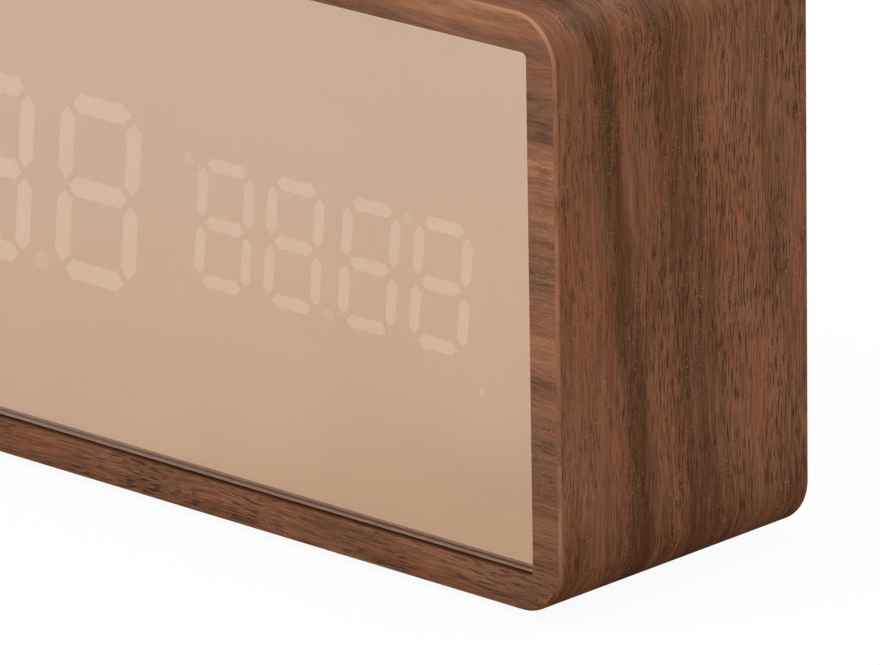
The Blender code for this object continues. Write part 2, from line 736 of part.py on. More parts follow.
def board_box(name, size, place, finish, edge=0.0):
    """Add a box-shaped component; size and place run x, depth, z."""
    location = (place[0], place[1], CENTRE_Z + place[2])
    return add_part(name, box_mesh(name, *size, edge), finish, location)


def display_components():
    """The driver chip and the cable socket behind the display board."""
    chip_y = BOARD_BACK + FIT_GAP + CHIP_HEIGHT / 2
    board_box("driver_chip", (CHIP_LENGTH, CHIP_HEIGHT, CHIP_WIDTH), (DRIVER_X, chip_y, 0.0),
              "chip_black", CHIP_EDGE)
    socket_y = BOARD_BACK + FIT_GAP + SOCKET_HEIGHT / 2
    board_box("display_socket", (SOCKET_LENGTH, SOCKET_HEIGHT, SOCKET_WIDTH),
              (SOCKET_X, socket_y, DISPLAY_SOCKET_Z), "socket_cream")


def ribbon_cable():
    """The flat cable between the boards' sockets, bent in an S."""
    start_y = BOARD_BACK + 2 * FIT_GAP + SOCKET_HEIGHT
    end_y = CONTROL_FRONT - 2 * FIT_GAP - SOCKET_HEIGHT
    rise = CONTROL_SOCKET_Z - DISPLAY_SOCKET_Z
    near, far = [], []
    for step in range(RIBBON_POINTS + 1):
        share = step / RIBBON_POINTS
        y = start_y + (end_y - start_y) * share
        z = DISPLAY_SOCKET_Z + rise * (1 - math.cos(math.pi * share)) / 2
        slope = rise * math.pi * math.sin(math.pi * share) / 2 / (end_y - start_y)
        normal = Vector((-slope, 1.0)).normalized() * RIBBON_THICKNESS / 2
        near.append((y + normal.x, z + normal.y))
        far.append((y - normal.x, z - normal.y))
    mesh = outline_mesh("ribbon_cable", [near + far[::-1]], RIBBON_WIDTH)
    rotation = (math.pi / 2, 0.0, math.pi / 2)
    add_part("ribbon_cable", mesh, "ribbon_grey", (SOCKET_X, 0.0, CENTRE_Z), rotation)


def screw_mesh():
    """Return a cross-head screw whose head seats on z = 0."""
    crown_radius = SCREW_HEAD_RADIUS - SCREW_HEAD_TAPER
    profile = [(0.0, SCREW_HEAD_HEIGHT), (crown_radius, SCREW_HEAD_HEIGHT), (SCREW_HEAD_RADIUS, 0.0),
               (SCREW_SHANK_RADIUS, 0.0), (SCREW_SHANK_RADIUS, SCREW_SHANK_RADIUS - SCREW_LENGTH),
               (0.0, -SCREW_LENGTH)]
    head = add_cutter("screw_blank", turned_mesh("screw", profile, SMALL_ROUND_STEPS))
    depth = CROSS_DEPTH + CUT_OVERRUN
    centre = SCREW_HEAD_HEIGHT - CROSS_DEPTH + depth / 2
    bars = []
    for width, height in ((CROSS_LENGTH, CROSS_WIDTH), (CROSS_WIDTH, CROSS_LENGTH)):
        bar = add_cutter("screw_slot", box_mesh("screw_slot", width, height, depth), (0.0, 0.0, centre))
        boolean(head, bar, "DIFFERENCE")
        bars.append(bar)
    mesh = bake(head)
    for bar in bars:
        bpy.data.objects.remove(bar, do_unlink=True)
    return mesh


def screws():
    """The screws of rear cover, display board and control board."""
    mesh = screw_mesh()
    cover_seat = COVER_BACK - COUNTERBORE_DEPTH + GLUE_GAP
    board_seat = BOARD_BACK + GLUE_GAP
    for number, (x, z) in enumerate(four_corners(POST_X, POST_Z), start=1):
        add_part(f"cover_screw_{number}", mesh, "steel", (x, cover_seat, CENTRE_Z + z), TOWARDS_BACK)
    for number, (x, z) in enumerate(four_corners(STANDOFF_X, STANDOFF_Z), start=1):
        add_part(f"display_screw_{number}", mesh, "steel", (x, board_seat, CENTRE_Z + z), TOWARDS_BACK)
    for number, (x, z) in enumerate(control_posts(), start=1):
        place = (x, CONTROL_FRONT - GLUE_GAP, CENTRE_Z + z)
        add_part(f"control_screw_{number}", mesh, "steel", place, TOWARDS_FRONT)


def control_posts():
    """Return the places of the two posts that hold the control board."""
    reach = CONTROL_WIDTH / 2 - CONTROL_POST_INSET
    return [(CONTROL_X - reach, CONTROL_Z), (CONTROL_X + reach, CONTROL_Z)]


def key_places():
    """Return the keys' centres, from left to right."""
    last = len(KEY_NAMES) - 1
    right = CONTROL_RIGHT - KEY_INSET_X
    return [(right - (last - number) * KEY_PITCH, KEY_Z) for number in range(len(KEY_NAMES))]


def cell_rows():
    """Return each cell's height in the bay, from the bottom up."""
    lowest = -CELL_PITCH * (len(CELL_SIGNS) - 1) / 2
    return [lowest + CELL_PITCH * number for number in range(len(CELL_SIGNS))]


def cover_holes():
    """Return the outlines that are cut right through the rear cover."""
    holes = [circle(KEY_RADIUS + FIT_GAP, place, ROUND_STEPS) for place in key_places()]
    slot = KNOB_LENGTH + SLIDE_TRAVEL + 2 * FIT_GAP
    holes.append(rectangle(slot, KNOB_WIDTH + 2 * FIT_GAP, (SLIDE_X, KEY_Z)))
    inlet = (INLET_X, LOWER_ROW_Z)
    holes.append(rectangle(INLET_LENGTH + 2 * FIT_GAP, INLET_WIDTH + 2 * FIT_GAP, inlet))
    holes.append(circle(SOUND_HOLE_RADIUS, (SOUNDER_X, LOWER_ROW_Z), DOT_SIDES))
    for x, z in circle(SOUND_RING_RADIUS, (SOUNDER_X, LOWER_ROW_Z), SOUND_RING_COUNT):
        holes.append(circle(SOUND_HOLE_RADIUS, (x, z), DOT_SIDES))
    for number in range(VENT_COUNT):
        z = LOWER_ROW_Z + (number - (VENT_COUNT - 1) / 2) * VENT_PITCH
        holes.append(rectangle(VENT_LENGTH, VENT_WIDTH, (SENSOR_X, z)))
    return holes


def cell_troughs():
    """Return one cutter of the round troughs in which the cells lie."""
    work = bmesh.new()
    for z in cell_rows():
        made = bmesh.ops.create_cone(work, cap_ends=True, segments=ROUND_STEPS, depth=BAY_LENGTH,
                                     radius1=CELL_RADIUS + CELL_PLAY, radius2=CELL_RADIUS + CELL_PLAY)
        bmesh.ops.translate(work, vec=(-z, 0.0, 0.0), verts=made["verts"])
    mesh = bpy.data.meshes.new("bay_troughs")
    work.to_mesh(mesh)
    work.free()
    return add_cutter("bay_troughs", mesh, (BAY_X, CELL_Y, CENTRE_Z), (0.0, math.pi / 2, 0.0))


def rear_cover():
    """The moulded rear cover with its battery bay, posts and openings."""
    outline = rounded_rectangle(FRAME_WIDTH, FRAME_HEIGHT, COVER_CORNER, steps=SMALL_CORNER_STEPS)
    cover = plate("rear_cover", outline, COVER_FRONT, COVER_BACK, "black_plastic")
    cut_through(cover, "cover_openings", cover_holes(), COVER_FRONT, COVER_BACK)
    tub = rounded_rectangle(TUB_LENGTH, TUB_HEIGHT, DOOR_CORNER, (BAY_X, 0.0), SMALL_CORNER_STEPS)
    join_plate(cover, "cover_tub", [tub], TUB_FRONT, COVER_FRONT + JOIN_DEPTH)
    posts = [circle(CONTROL_POST_RADIUS, place) for place in control_posts()]
    join_plate(cover, "cover_posts", posts, CONTROL_BACK + FIT_GAP, COVER_FRONT + JOIN_DEPTH)
    pocket = rounded_rectangle(POCKET_LENGTH, POCKET_HEIGHT, DOOR_CORNER, (BAY_X, 0.0), SMALL_CORNER_STEPS)
    cut_from_back(cover, "cover_door_pocket", [pocket], BAY_MOUTH, COVER_BACK)
    mouth = rectangle(BAY_LENGTH, BAY_HEIGHT, (BAY_X, 0.0))
    cut_from_back(cover, "cover_bay", [mouth], CELL_Y, COVER_BACK)
    boolean(cover, cell_troughs(), "DIFFERENCE")
    groove = CONTACT_THICKNESS + 2 * FIT_GAP
    reach = (BAY_LENGTH - groove) / 2
    grooves = [rectangle(groove, BAY_HEIGHT, (BAY_X + side * reach, 0.0)) for side in (-1, 1)]
    groove_floor = CELL_Y - CONTACT_WIDTH / 2 - FIT_GAP
    cut_from_back(cover, "cover_contact_grooves", grooves, groove_floor, COVER_BACK)
    bores = [circle(PILOT_RADIUS, place) for place in control_posts()]
    tool = plate_cutter("cover_post_bores", bores, CONTROL_BACK, COVER_FRONT)
    boolean(cover, tool, "DIFFERENCE")
    seats = [circle(COUNTERBORE_RADIUS, place) for place in four_corners(POST_X, POST_Z)]
    cut_from_back(cover, "cover_counterbores", seats, COVER_BACK - COUNTERBORE_DEPTH, COVER_BACK)
    holes = [circle(SCREW_BORE_RADIUS, place) for place in four_corners(POST_X, POST_Z)]
    cut_through(cover, "cover_screw_holes", holes, COVER_FRONT, COVER_BACK)
    even_faces(cover)


def battery_door():
    """The battery door, with its latch tongue, grip ridges and lugs."""
    outline = rounded_rectangle(DOOR_LENGTH, DOOR_HEIGHT, DOOR_CORNER, steps=SMALL_CORNER_STEPS)
    tip = DOOR_LENGTH / 2 - TONGUE_MARGIN
    root = tip - TONGUE_LENGTH
    outer, inner = TONGUE_WIDTH / 2 + DOOR_SLIT, TONGUE_WIDTH / 2
    slit = [(root, -outer), (tip, -outer), (tip, outer), (root, outer),
            (root, inner), (tip - DOOR_SLIT, inner), (tip - DOOR_SLIT, -inner), (root, -inner)]
    mesh = outline_mesh("battery_door", [outline], DOOR_THICKNESS)
    place = (BAY_X, (DOOR_FRONT + COVER_BACK) / 2, CENTRE_Z)
    door = add_part("battery_door", mesh, "black_plastic", place, TOWARDS_FRONT)
    cut_through(door, "door_slit", [[(BAY_X + x, z) for x, z in slit]], DOOR_FRONT, COVER_BACK)
    first = tip - DOOR_SLIT - RIDGE_PITCH
    ridges = [rectangle(RIDGE_WIDTH, RIDGE_LENGTH, (BAY_X + first - number * RIDGE_PITCH, 0.0))
              for number in range(RIDGE_COUNT)]
    join_plate(door, "door_ridges", ridges, COVER_BACK - JOIN_DEPTH, COVER_BACK + RIDGE_HEIGHT)
    lug_x = BAY_LENGTH / 2 - FIT_GAP - LUG_THICKNESS / 2
    lug_places = four_corners(lug_x, LUG_SPREAD / 2)
    lugs = [rectangle(LUG_THICKNESS, LUG_WIDTH, (BAY_X + x, z)) for x, z in lug_places]
    join_plate(door, "door_lugs", lugs, DOOR_FRONT - LUG_LENGTH, DOOR_FRONT + JOIN_DEPTH)


def batteries():
    """Three cells in series, each turned and laid along the bay."""
    body = CELL_LENGTH - CELL_NUB_HEIGHT
    top = CELL_LENGTH / 2
    shoulder = top - CELL_NUB_HEIGHT
    profile = [(0.0, top), (CELL_NUB_RADIUS, top), (CELL_NUB_RADIUS, shoulder),
               (CELL_RADIUS - CELL_EDGE, shoulder), (CELL_RADIUS, shoulder - CELL_EDGE),
               (CELL_RADIUS, shoulder - body + CELL_EDGE), (CELL_RADIUS - CELL_EDGE, shoulder - body),
               (0.0, shoulder - body)]
    mesh = turned_mesh("battery", profile)
    shift = (SPRING_LENGTH + FIT_GAP) / 2
    for number, (sign, z) in enumerate(zip(CELL_SIGNS, cell_rows()), start=1):
        place = (BAY_X + sign * shift, CELL_Y, CENTRE_Z + z)
        add_part(f"battery_{number}", mesh, "cell_wrap", place, (0.0, sign * math.pi / 2, 0.0))


def battery_contacts():
    """Sprung and flat contact plates at the two ends of the bay."""
    bottom, middle, top = cell_rows()
    end = BAY_LENGTH / 2 - FIT_GAP - CONTACT_THICKNESS / 2
    both = CONTACT_WIDTH + CELL_PITCH
    plates = {"positive_contact": (1, top, CONTACT_WIDTH),
              "right_link_contact": (1, (bottom + middle) / 2, both),
              "negative_contact": (-1, bottom, CONTACT_WIDTH),
              "left_link_contact": (-1, (middle + top) / 2, both)}
    for name, (side, z, height) in plates.items():
        size = (CONTACT_THICKNESS, CONTACT_WIDTH, height)
        board_box(name, size, (BAY_X + side * end, CELL_Y, z), "spring_nickel")


def spring_mesh():
    """Return a tapering coil along z, wide at its foot on z = 0."""
    curve = bpy.data.curves.new("battery_spring", "CURVE")
    curve.dimensions = "3D"
    curve.bevel_depth = SPRING_WIRE / 2
    curve.bevel_resolution = 1
    curve.use_fill_caps = True
    count = SPRING_TURNS * SPRING_TURN_POINTS
    spline = curve.splines.new("POLY")
    spline.points.add(count)
    for index, point in enumerate(spline.points):
        share = index / count
        angle = 2 * math.pi * SPRING_TURNS * share
        radius = SPRING_RADIUS + (SPRING_TIP_RADIUS - SPRING_RADIUS) * share
        height = SPRING_WIRE / 2 + (SPRING_LENGTH - SPRING_WIRE) * share
        point.co = (radius * math.cos(angle), radius * math.sin(angle), height, 1.0)
    coil = bpy.data.objects.new("battery_spring", curve)
    CUTTERS.objects.link(coil)
    mesh = weld(bake(coil))
    bpy.data.curves.remove(curve)
    return mesh


def battery_springs():
    """The coil on each negative contact, pressing on its cell."""
    mesh = spring_mesh()
    foot = BAY_LENGTH / 2 - 2 * FIT_GAP - CONTACT_THICKNESS
    for number, (sign, z) in enumerate(zip(CELL_SIGNS, cell_rows()), start=1):
        place = (BAY_X - sign * foot, CELL_Y, CENTRE_Z + z)
        add_part(f"battery_spring_{number}", mesh, "spring_nickel", place, (0.0, sign * math.pi / 2, 0.0))


def control_board():
    """The control board, its chip and its cable socket."""
    outline = rectangle(CONTROL_WIDTH, CONTROL_HEIGHT, (CONTROL_X, CONTROL_Z))
    bores = [circle(SCREW_BORE_RADIUS, place) for place in control_posts()]
    board = plate("control_board", outline, CONTROL_FRONT, CONTROL_BACK, "board_green")
    cut_through(board, "control_board_bores", bores, CONTROL_FRONT, CONTROL_BACK)
    chip_y = CONTROL_FRONT - FIT_GAP - CHIP_HEIGHT / 2
    board_box("clock_chip", (CHIP_LENGTH, CHIP_HEIGHT, CHIP_WIDTH), (SOCKET_X, chip_y, CLOCK_CHIP_Z),
              "chip_black", CHIP_EDGE)
    socket_y = CONTROL_FRONT - FIT_GAP - SOCKET_HEIGHT / 2
    board_box("control_socket", (SOCKET_LENGTH, SOCKET_HEIGHT, SOCKET_WIDTH),
              (SOCKET_X, socket_y, CONTROL_SOCKET_Z), "socket_cream")


def key_switches():
    """The four key switches, each with a bore for its key's stem."""
    foot = CONTROL_BACK + FIT_GAP
    top = foot + KEY_SWITCH_HEIGHT
    body = outline_mesh("key_switch_body", [rectangle(KEY_SWITCH_SIZE, KEY_SWITCH_SIZE)], KEY_SWITCH_HEIGHT)
    blank = add_cutter("key_switch_blank", body)
    depth = KEY_SWITCH_BORE_DEPTH + CUT_OVERRUN
    bore = outline_mesh("key_switch_bore", [circle(KEY_SWITCH_BORE_RADIUS)], depth)
    centre = KEY_SWITCH_HEIGHT / 2 - KEY_SWITCH_BORE_DEPTH + depth / 2
    tool = add_cutter("key_switch_bore", bore, (0.0, 0.0, centre))
    boolean(blank, tool, "DIFFERENCE")
    mesh = bake(blank)
    bpy.data.objects.remove(tool, do_unlink=True)
    for number, (x, z) in enumerate(key_places(), start=1):
        place = (x, (foot + top) / 2, CENTRE_Z + z)
        add_part(f"key_switch_{number}", mesh, "chip_black", place, TOWARDS_BACK)


def keys():
    """The four round keys, each turned with its flange and stem."""
    flange_back = COVER_FRONT - FIT_GAP
    crown = COVER_BACK + KEY_RISE - flange_back
    stem_end = CONTROL_BACK + FIT_GAP + KEY_SWITCH_HEIGHT - KEY_STEM_ENGAGE - flange_back
    profile = [(0.0, crown), (KEY_RADIUS - KEY_EDGE, crown), (KEY_RADIUS, crown - KEY_EDGE),
               (KEY_RADIUS, 0.0), (KEY_FLANGE_RADIUS, 0.0), (KEY_FLANGE_RADIUS, -KEY_FLANGE),
               (KEY_STEM_RADIUS, -KEY_FLANGE), (KEY_STEM_RADIUS, stem_end), (0.0, stem_end)]
    mesh = turned_mesh("key", profile)
    for name, (x, z) in zip(KEY_NAMES, key_places()):
        add_part(name, mesh, "black_plastic", (x, flange_back, CENTRE_Z + z), TOWARDS_BACK)


def slide_switch():
    """The alarm slide switch and the knob that moves along it."""
    foot = CONTROL_BACK + FIT_GAP
    top = foot + SLIDE_HEIGHT
    centre = (SLIDE_X, KEY_Z)
    body = plate("slide_switch", rectangle(SLIDE_LENGTH, SLIDE_WIDTH, centre), foot, top, "steel")
    slot = rectangle(KNOB_LENGTH + SLIDE_TRAVEL + 2 * FIT_GAP, KNOB_WIDTH + 2 * FIT_GAP, centre)
    cut_from_back(body, "slide_slot", [slot], top - SLIDE_SLOT_DEPTH, top)
    knob_front = top - SLIDE_SLOT_DEPTH + FIT_GAP
    knob_back = COVER_BACK + KNOB_RISE
    size = (KNOB_LENGTH, knob_back - knob_front, KNOB_WIDTH)
    place = (SLIDE_X - SLIDE_TRAVEL / 2, (knob_front + knob_back) / 2, KEY_Z)
    board_box("alarm_switch_knob", size, place, "black_plastic", KNOB_EDGE)


def sounder():
    """The round sounder behind the cover's sound holes."""
    port_floor = SOUNDER_HEIGHT - SOUNDER_PORT_DEPTH
    profile = [(0.0, port_floor), (SOUNDER_PORT_RADIUS, port_floor), (SOUNDER_PORT_RADIUS, SOUNDER_HEIGHT),
               (SOUNDER_RADIUS, SOUNDER_HEIGHT), (SOUNDER_RADIUS, 0.0), (0.0, 0.0)]
    mesh = turned_mesh("sounder", profile)
    place = (SOUNDER_X, CONTROL_BACK + FIT_GAP, CENTRE_Z + LOWER_ROW_Z)
    add_part("sounder", mesh, "chip_black", place, TOWARDS_BACK)


def temperature_sensor():
    """The sensor bead that stands behind the cover's vents."""
    ball = SENSOR_HEIGHT - SENSOR_RADIUS
    arc = []
    for step in range(CORNER_STEPS + 1):
        angle = math.radians(SENSOR_ARC * step / CORNER_STEPS)
        arc.append((SENSOR_RADIUS * math.sin(angle), ball + SENSOR_RADIUS * math.cos(angle)))
    arc[0] = (0.0, SENSOR_HEIGHT)
    profile = arc + [(SENSOR_LEG_RADIUS, 0.0), (0.0, 0.0)]
    mesh = turned_mesh("temperature_sensor", profile, SMALL_ROUND_STEPS)
    place = (SENSOR_X, CONTROL_BACK + FIT_GAP, CENTRE_Z + LOWER_ROW_Z)
    add_part("temperature_sensor", mesh, "chip_black", place, TOWARDS_BACK)


def supply_socket():
    """The metal supply socket, whose mouth shows in the rear cover."""
    front = CONTROL_BACK + FIT_GAP
    back = COVER_BACK - INLET_SETBACK
    centre = (INLET_X, LOWER_ROW_Z)
    shell = plate("supply_socket", rectangle(INLET_LENGTH, INLET_WIDTH, centre), front, back, "steel")
    mouth = rectangle(INLET_LENGTH - 2 * INLET_SHELL, INLET_WIDTH - 2 * INLET_SHELL, centre)
    cut_from_back(shell, "supply_mouth", [mouth], back - INLET_MOUTH_DEPTH, back)


def lead(name, start, end, finish):
    """Add one battery lead that bows from the bay to the control board."""
    bow = Vector((0.0, LEAD_BOW, 0.0))
    start, end = Vector(start), Vector(end)
    knots = (start, start - bow, end - bow, end)
    curve = bpy.data.curves.new(name, "CURVE")
    curve.dimensions = "3D"
    curve.bevel_depth = LEAD_RADIUS
    curve.bevel_resolution = 1
    curve.use_fill_caps = True
    spline = curve.splines.new("POLY")
    spline.points.add(LEAD_POINTS)
    for index, point in enumerate(spline.points):
        share = index / LEAD_POINTS
        rest = 1 - share
        weights = (rest ** 3, 3 * rest ** 2 * share, 3 * rest * share ** 2, share ** 3)
        place = sum((knot * weight for knot, weight in zip(knots, weights)), Vector())
        point.co = (*place, 1.0)
    route = bpy.data.objects.new(name, curve)
    CUTTERS.objects.link(route)
    mesh = weld(bake(route))
    bpy.data.curves.remove(curve)
    add_part(name, mesh, finish)


def battery_leads():
    """The two leads from the bay's end contacts to the control board."""
    rows = cell_rows()
    bay_end = BAY_LENGTH / 2 - LEAD_INSET
    start_y = TUB_FRONT - FIT_GAP
    end_x = CONTROL_LEFT + LEAD_END_INSET
    end_y = CONTROL_FRONT - FIT_GAP
    red_start = (BAY_X + bay_end, start_y, CENTRE_Z + rows[-1])
    red_end = (end_x, end_y, CENTRE_Z + RED_END_Z)
    lead("red_lead", red_start, red_end, "lead_red")
    black_start = (BAY_X - bay_end, start_y, CENTRE_Z + rows[0])
    black_end = (end_x, end_y, CENTRE_Z + BLACK_END_Z)
    lead("black_lead", black_start, black_end, "lead_black")


def build_clock():
    """Build every piece of the clock."""
    case_sleeve()
    feet()
    front_lens()
    lens_tape()
    inner_frame()
    for row in ROWS:
        digit_block(row)
        light_guide(row)
    display_board()
    display_components()
    ribbon_cable()
    rear_cover()
    battery_door()
    batteries()
    battery_contacts()
    battery_springs()
    control_board()
    key_switches()
    keys()
    slide_switch()
    sounder()
    temperature_sensor()
    supply_socket()
    battery_leads()
    screws()


build_clock()
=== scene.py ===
# %% [markdown]
# # Dressing a digital alarm clock
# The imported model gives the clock's solids in metres. This lesson keeps them where they are,
# looks at them from the photograph's angle and gives each visible surface its real finish:
# wrapped walnut veneer, a rose-tinted half mirror, moulded black plastic, rubber and steel.

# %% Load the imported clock
import json
import math

import bmesh
import bpy
from mathutils import Matrix, Vector


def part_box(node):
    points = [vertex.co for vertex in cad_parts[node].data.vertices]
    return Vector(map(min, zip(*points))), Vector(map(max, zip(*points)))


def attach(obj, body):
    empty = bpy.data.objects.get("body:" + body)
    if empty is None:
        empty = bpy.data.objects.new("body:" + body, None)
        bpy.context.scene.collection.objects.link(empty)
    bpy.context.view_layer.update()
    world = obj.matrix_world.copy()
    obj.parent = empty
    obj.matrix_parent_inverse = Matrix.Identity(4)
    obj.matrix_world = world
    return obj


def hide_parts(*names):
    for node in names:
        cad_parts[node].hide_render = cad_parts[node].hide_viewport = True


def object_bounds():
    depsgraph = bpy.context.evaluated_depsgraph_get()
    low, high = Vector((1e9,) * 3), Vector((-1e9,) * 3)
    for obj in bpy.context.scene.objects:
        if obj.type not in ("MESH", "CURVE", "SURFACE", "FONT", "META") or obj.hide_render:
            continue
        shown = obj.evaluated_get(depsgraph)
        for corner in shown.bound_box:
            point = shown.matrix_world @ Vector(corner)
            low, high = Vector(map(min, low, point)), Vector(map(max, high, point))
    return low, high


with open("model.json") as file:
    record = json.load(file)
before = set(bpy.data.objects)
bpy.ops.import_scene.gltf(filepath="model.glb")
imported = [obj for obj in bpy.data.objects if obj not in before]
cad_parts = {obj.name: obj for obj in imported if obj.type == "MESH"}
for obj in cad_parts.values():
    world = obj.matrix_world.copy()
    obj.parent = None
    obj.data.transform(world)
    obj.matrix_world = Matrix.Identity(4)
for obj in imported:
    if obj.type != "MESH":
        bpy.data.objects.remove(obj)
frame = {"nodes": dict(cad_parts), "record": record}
CAD_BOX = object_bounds()
NODES = frame["nodes"]
print("solids:", len(NODES), "box in mm:", [round(1000 * side, 2) for side in CAD_BOX[1] - CAD_BOX[0]])

# %% [markdown]
# ## The camera
# A product photographer steps far back and uses a long lens, so that upright edges stay nearly
# parallel. Azimuth, elevation and a slight roll place the camera on a sphere round the front
# lower edge of the case, which is where the picture is aimed.

# %% Place the camera
AZIMUTH = math.radians(43.84)
ELEVATION = math.radians(17.93)
ROLL = math.radians(-0.98)
CAMERA_DISTANCE = 1.081
FOCAL_LENGTH_MM = 367.5
NEAREST_SEEN = 0.05
AIM = Vector((0.0606, -0.0225, 0.0336))


def camera_axes(azimuth, elevation, roll):
    """Return the camera's right, up and back directions."""
    right = Vector((math.cos(azimuth), math.sin(azimuth), 0.0))
    back = Vector((math.sin(azimuth) * math.cos(elevation), -math.cos(azimuth) * math.cos(elevation),
                   math.sin(elevation)))
    up = back.cross(right)
    return (right * math.cos(roll) + up * math.sin(roll),
            up * math.cos(roll) - right * math.sin(roll), back)


right, up, back = camera_axes(AZIMUTH, ELEVATION, ROLL)
bpy.ops.object.camera_add(location=AIM + back * CAMERA_DISTANCE)
camera = bpy.context.object
camera.rotation_euler = Matrix((right, up, back)).transposed().to_euler()
camera.data.lens = FOCAL_LENGTH_MM
camera.data.clip_start = NEAREST_SEEN
bpy.context.scene.camera = camera
print("camera at", [round(value, 3) for value in camera.location])

# %% [markdown]
# ## Node helpers
# Short helpers keep materials readable. `feed` gives an input a plain value or another node's
# output, `fill` does so for several inputs by name, and the others add one kind of node each.


# %% Helpers for values
def srgb(red, green, blue):
    """Turn screen values of 0 to 255 into a shader's linear colour."""
    return tuple((((v / 255 + 0.055) / 1.055) ** 2.4) if v > 10 else v / 255 / 12.92
                 for v in (red, green, blue)) + (1.0,)


def feed(tree, socket, value):
    """Set a socket's value, or link another node's output to it."""
    if isinstance(value, bpy.types.NodeSocket):
        tree.links.new(value, socket)
    else:
        socket.default_value = value


def fill(tree, node, **values):
    """Feed a node's inputs by name; an underscore stands for a space."""
    for title, value in values.items():
        feed(tree, node.inputs[title.replace("_", " ")], value)


def calculate(tree, operation, first, second=0.0, clamp=False):
    """Add a Math node and return its output."""
    node = tree.nodes.new("ShaderNodeMath")
    node.operation = operation
    node.use_clamp = clamp
    feed(tree, node.inputs[0], first)
    feed(tree, node.inputs[1], second)
    return node.outputs[0]


def spread(tree, value, low, high, to_low=0.0, to_high=1.0):
    """Map a range of values to another, and clamp the ends."""
    node = tree.nodes.new("ShaderNodeMapRange")
    for socket, entry in zip(node.inputs, (value, low, high, to_low, to_high)):
        feed(tree, socket, entry)
    return node.outputs["Result"]


def varied(tree, pattern, low, high, reach=0.2):
    """Map a noise pattern's usual range, a reach either side of 0.5, to another."""
    return spread(tree, pattern, 0.5 - reach, 0.5 + reach, low, high)


print("mid grey is", round(srgb(128, 128, 128)[0], 3), "to a shader")

# %% [markdown]
# ## Places and patterns
# A pattern needs coordinates in metres, so that its marks have their real size. Images could
# give the marks too, but noise that is stretched one way has no seams and stays sharp.


# %% Helpers for places and patterns
def object_place(tree):
    """Return the point's place in metres, which is the same for every piece."""
    return tree.nodes.new("ShaderNodeTexCoord").outputs["Object"]


def stretched(tree, vector, scale, offset=(0.0, 0.0, 0.0)):
    """Scale a pattern's coordinates, and so stretch it the other way."""
    node = tree.nodes.new("ShaderNodeMapping")
    fill(tree, node, Vector=vector, Location=offset, Scale=scale)
    return node.outputs["Vector"]


def noise(tree, vector, scale=1.0, detail=2.0):
    """Add a noise pattern and return its grey value."""
    node = tree.nodes.new("ShaderNodeTexNoise")
    fill(tree, node, Vector=vector, Scale=scale, Detail=detail)
    return node.outputs["Fac"]


def grained(tree, vector, length, width, start=0.0, detail=2.0):
    """Add noise with marks of a length in x and a width in y, in metres."""
    run = stretched(tree, vector, (1 / length, 1 / width, 1.0), (start, start, 0.0))
    return noise(tree, run, detail=detail)


def wandering(tree, vector, length, width, start, reach):
    """Return a soft shift of up to a reach either way, in metres."""
    return varied(tree, grained(tree, vector, length, width, start), -reach, reach, 0.25)


def joined(tree, x=0.0, y=0.0, z=0.0):
    """Join three values to a vector."""
    node = tree.nodes.new("ShaderNodeCombineXYZ")
    for socket, value in zip(node.inputs, (x, y, z)):
        feed(tree, socket, value)
    return node.outputs[0]


def split(tree, vector):
    """Split a vector into its three values."""
    node = tree.nodes.new("ShaderNodeSeparateXYZ")
    feed(tree, node.inputs[0], vector)
    return node.outputs


def height_in(tree):
    """Return the point's height above the floor in metres."""
    return split(tree, object_place(tree))[2]


print("pattern helpers ready")

# %% [markdown]
# ## Colours and bumps
# A pattern is only grey. A ramp turns it into colours, a mix lays one colour over another, and
# a bump makes light fall on it as on a rough skin. Many finishes only vary between two tones.

# %% Helpers for colours and bumps
COLOUR_A, COLOUR_B, COLOUR_RESULT = 6, 7, 2  # where a Mix node keeps its colour sockets


def colour_ramp(tree, value, stops):
    """Colour a grey value by stops of position and colour."""
    node = tree.nodes.new("ShaderNodeValToRGB")
    feed(tree, node.inputs["Fac"], value)
    elements = node.color_ramp.elements
    while len(elements) < len(stops):
        elements.new(1.0)
    for element, (position, colour) in zip(elements, stops):
        element.position = position
        element.color = colour
    return node.outputs["Color"]


def two_tone(tree, pattern, dark, light, reach=0.2):
    """Colour a noise pattern's usual range between two screen colours."""
    return colour_ramp(tree, pattern, [(0.5 - reach, srgb(*dark)), (0.5 + reach, srgb(*light))])


def mixed(tree, share, first, second):
    """Mix two colours by a share of 0 to 1."""
    node = tree.nodes.new("ShaderNodeMix")
    node.data_type = "RGBA"
    feed(tree, node.inputs["Factor"], share)
    feed(tree, node.inputs[COLOUR_A], first)
    feed(tree, node.inputs[COLOUR_B], second)
    return node.outputs[COLOUR_RESULT]


def bumped(tree, height, distance):
    """Turn a height pattern into a shading normal."""
    node = tree.nodes.new("ShaderNodeBump")
    fill(tree, node, Height=height, Distance=distance)
    return node.outputs["Normal"]


print("colour helpers ready")

# %% [markdown]
# ## Materials and shared effects
# An effect that several materials share is built once as a node group with named sockets, and
# each material places it with its own values. A dull finish with a faint grain needs no group.


# %% Helpers for materials and groups
def new_group(name, inputs, outputs):
    """Start a node group; Vector and Stretch are vectors, and its other sockets are values."""
    group = bpy.data.node_groups.new(name, "ShaderNodeTree")
    for way, titles in (("INPUT", inputs), ("OUTPUT", outputs)):
        for title in titles:
            kind = "NodeSocketVector" if title in ("Vector", "Stretch") else "NodeSocketFloat"
            group.interface.new_socket(name=title, in_out=way, socket_type=kind)
    return (group, group.nodes.new("NodeGroupInput").outputs,
            group.nodes.new("NodeGroupOutput").inputs)


def use_group(tree, group, **values):
    """Place a group in a material and return its outputs."""
    node = tree.nodes.new("ShaderNodeGroup")
    node.node_tree = group
    fill(tree, node, **values)
    return node.outputs


def new_material(name):
    """Return a new material's tree and its Principled shader."""
    material = bpy.data.materials.new(name)
    material.use_nodes = True
    return material, material.node_tree, material.node_tree.nodes["Principled BSDF"]


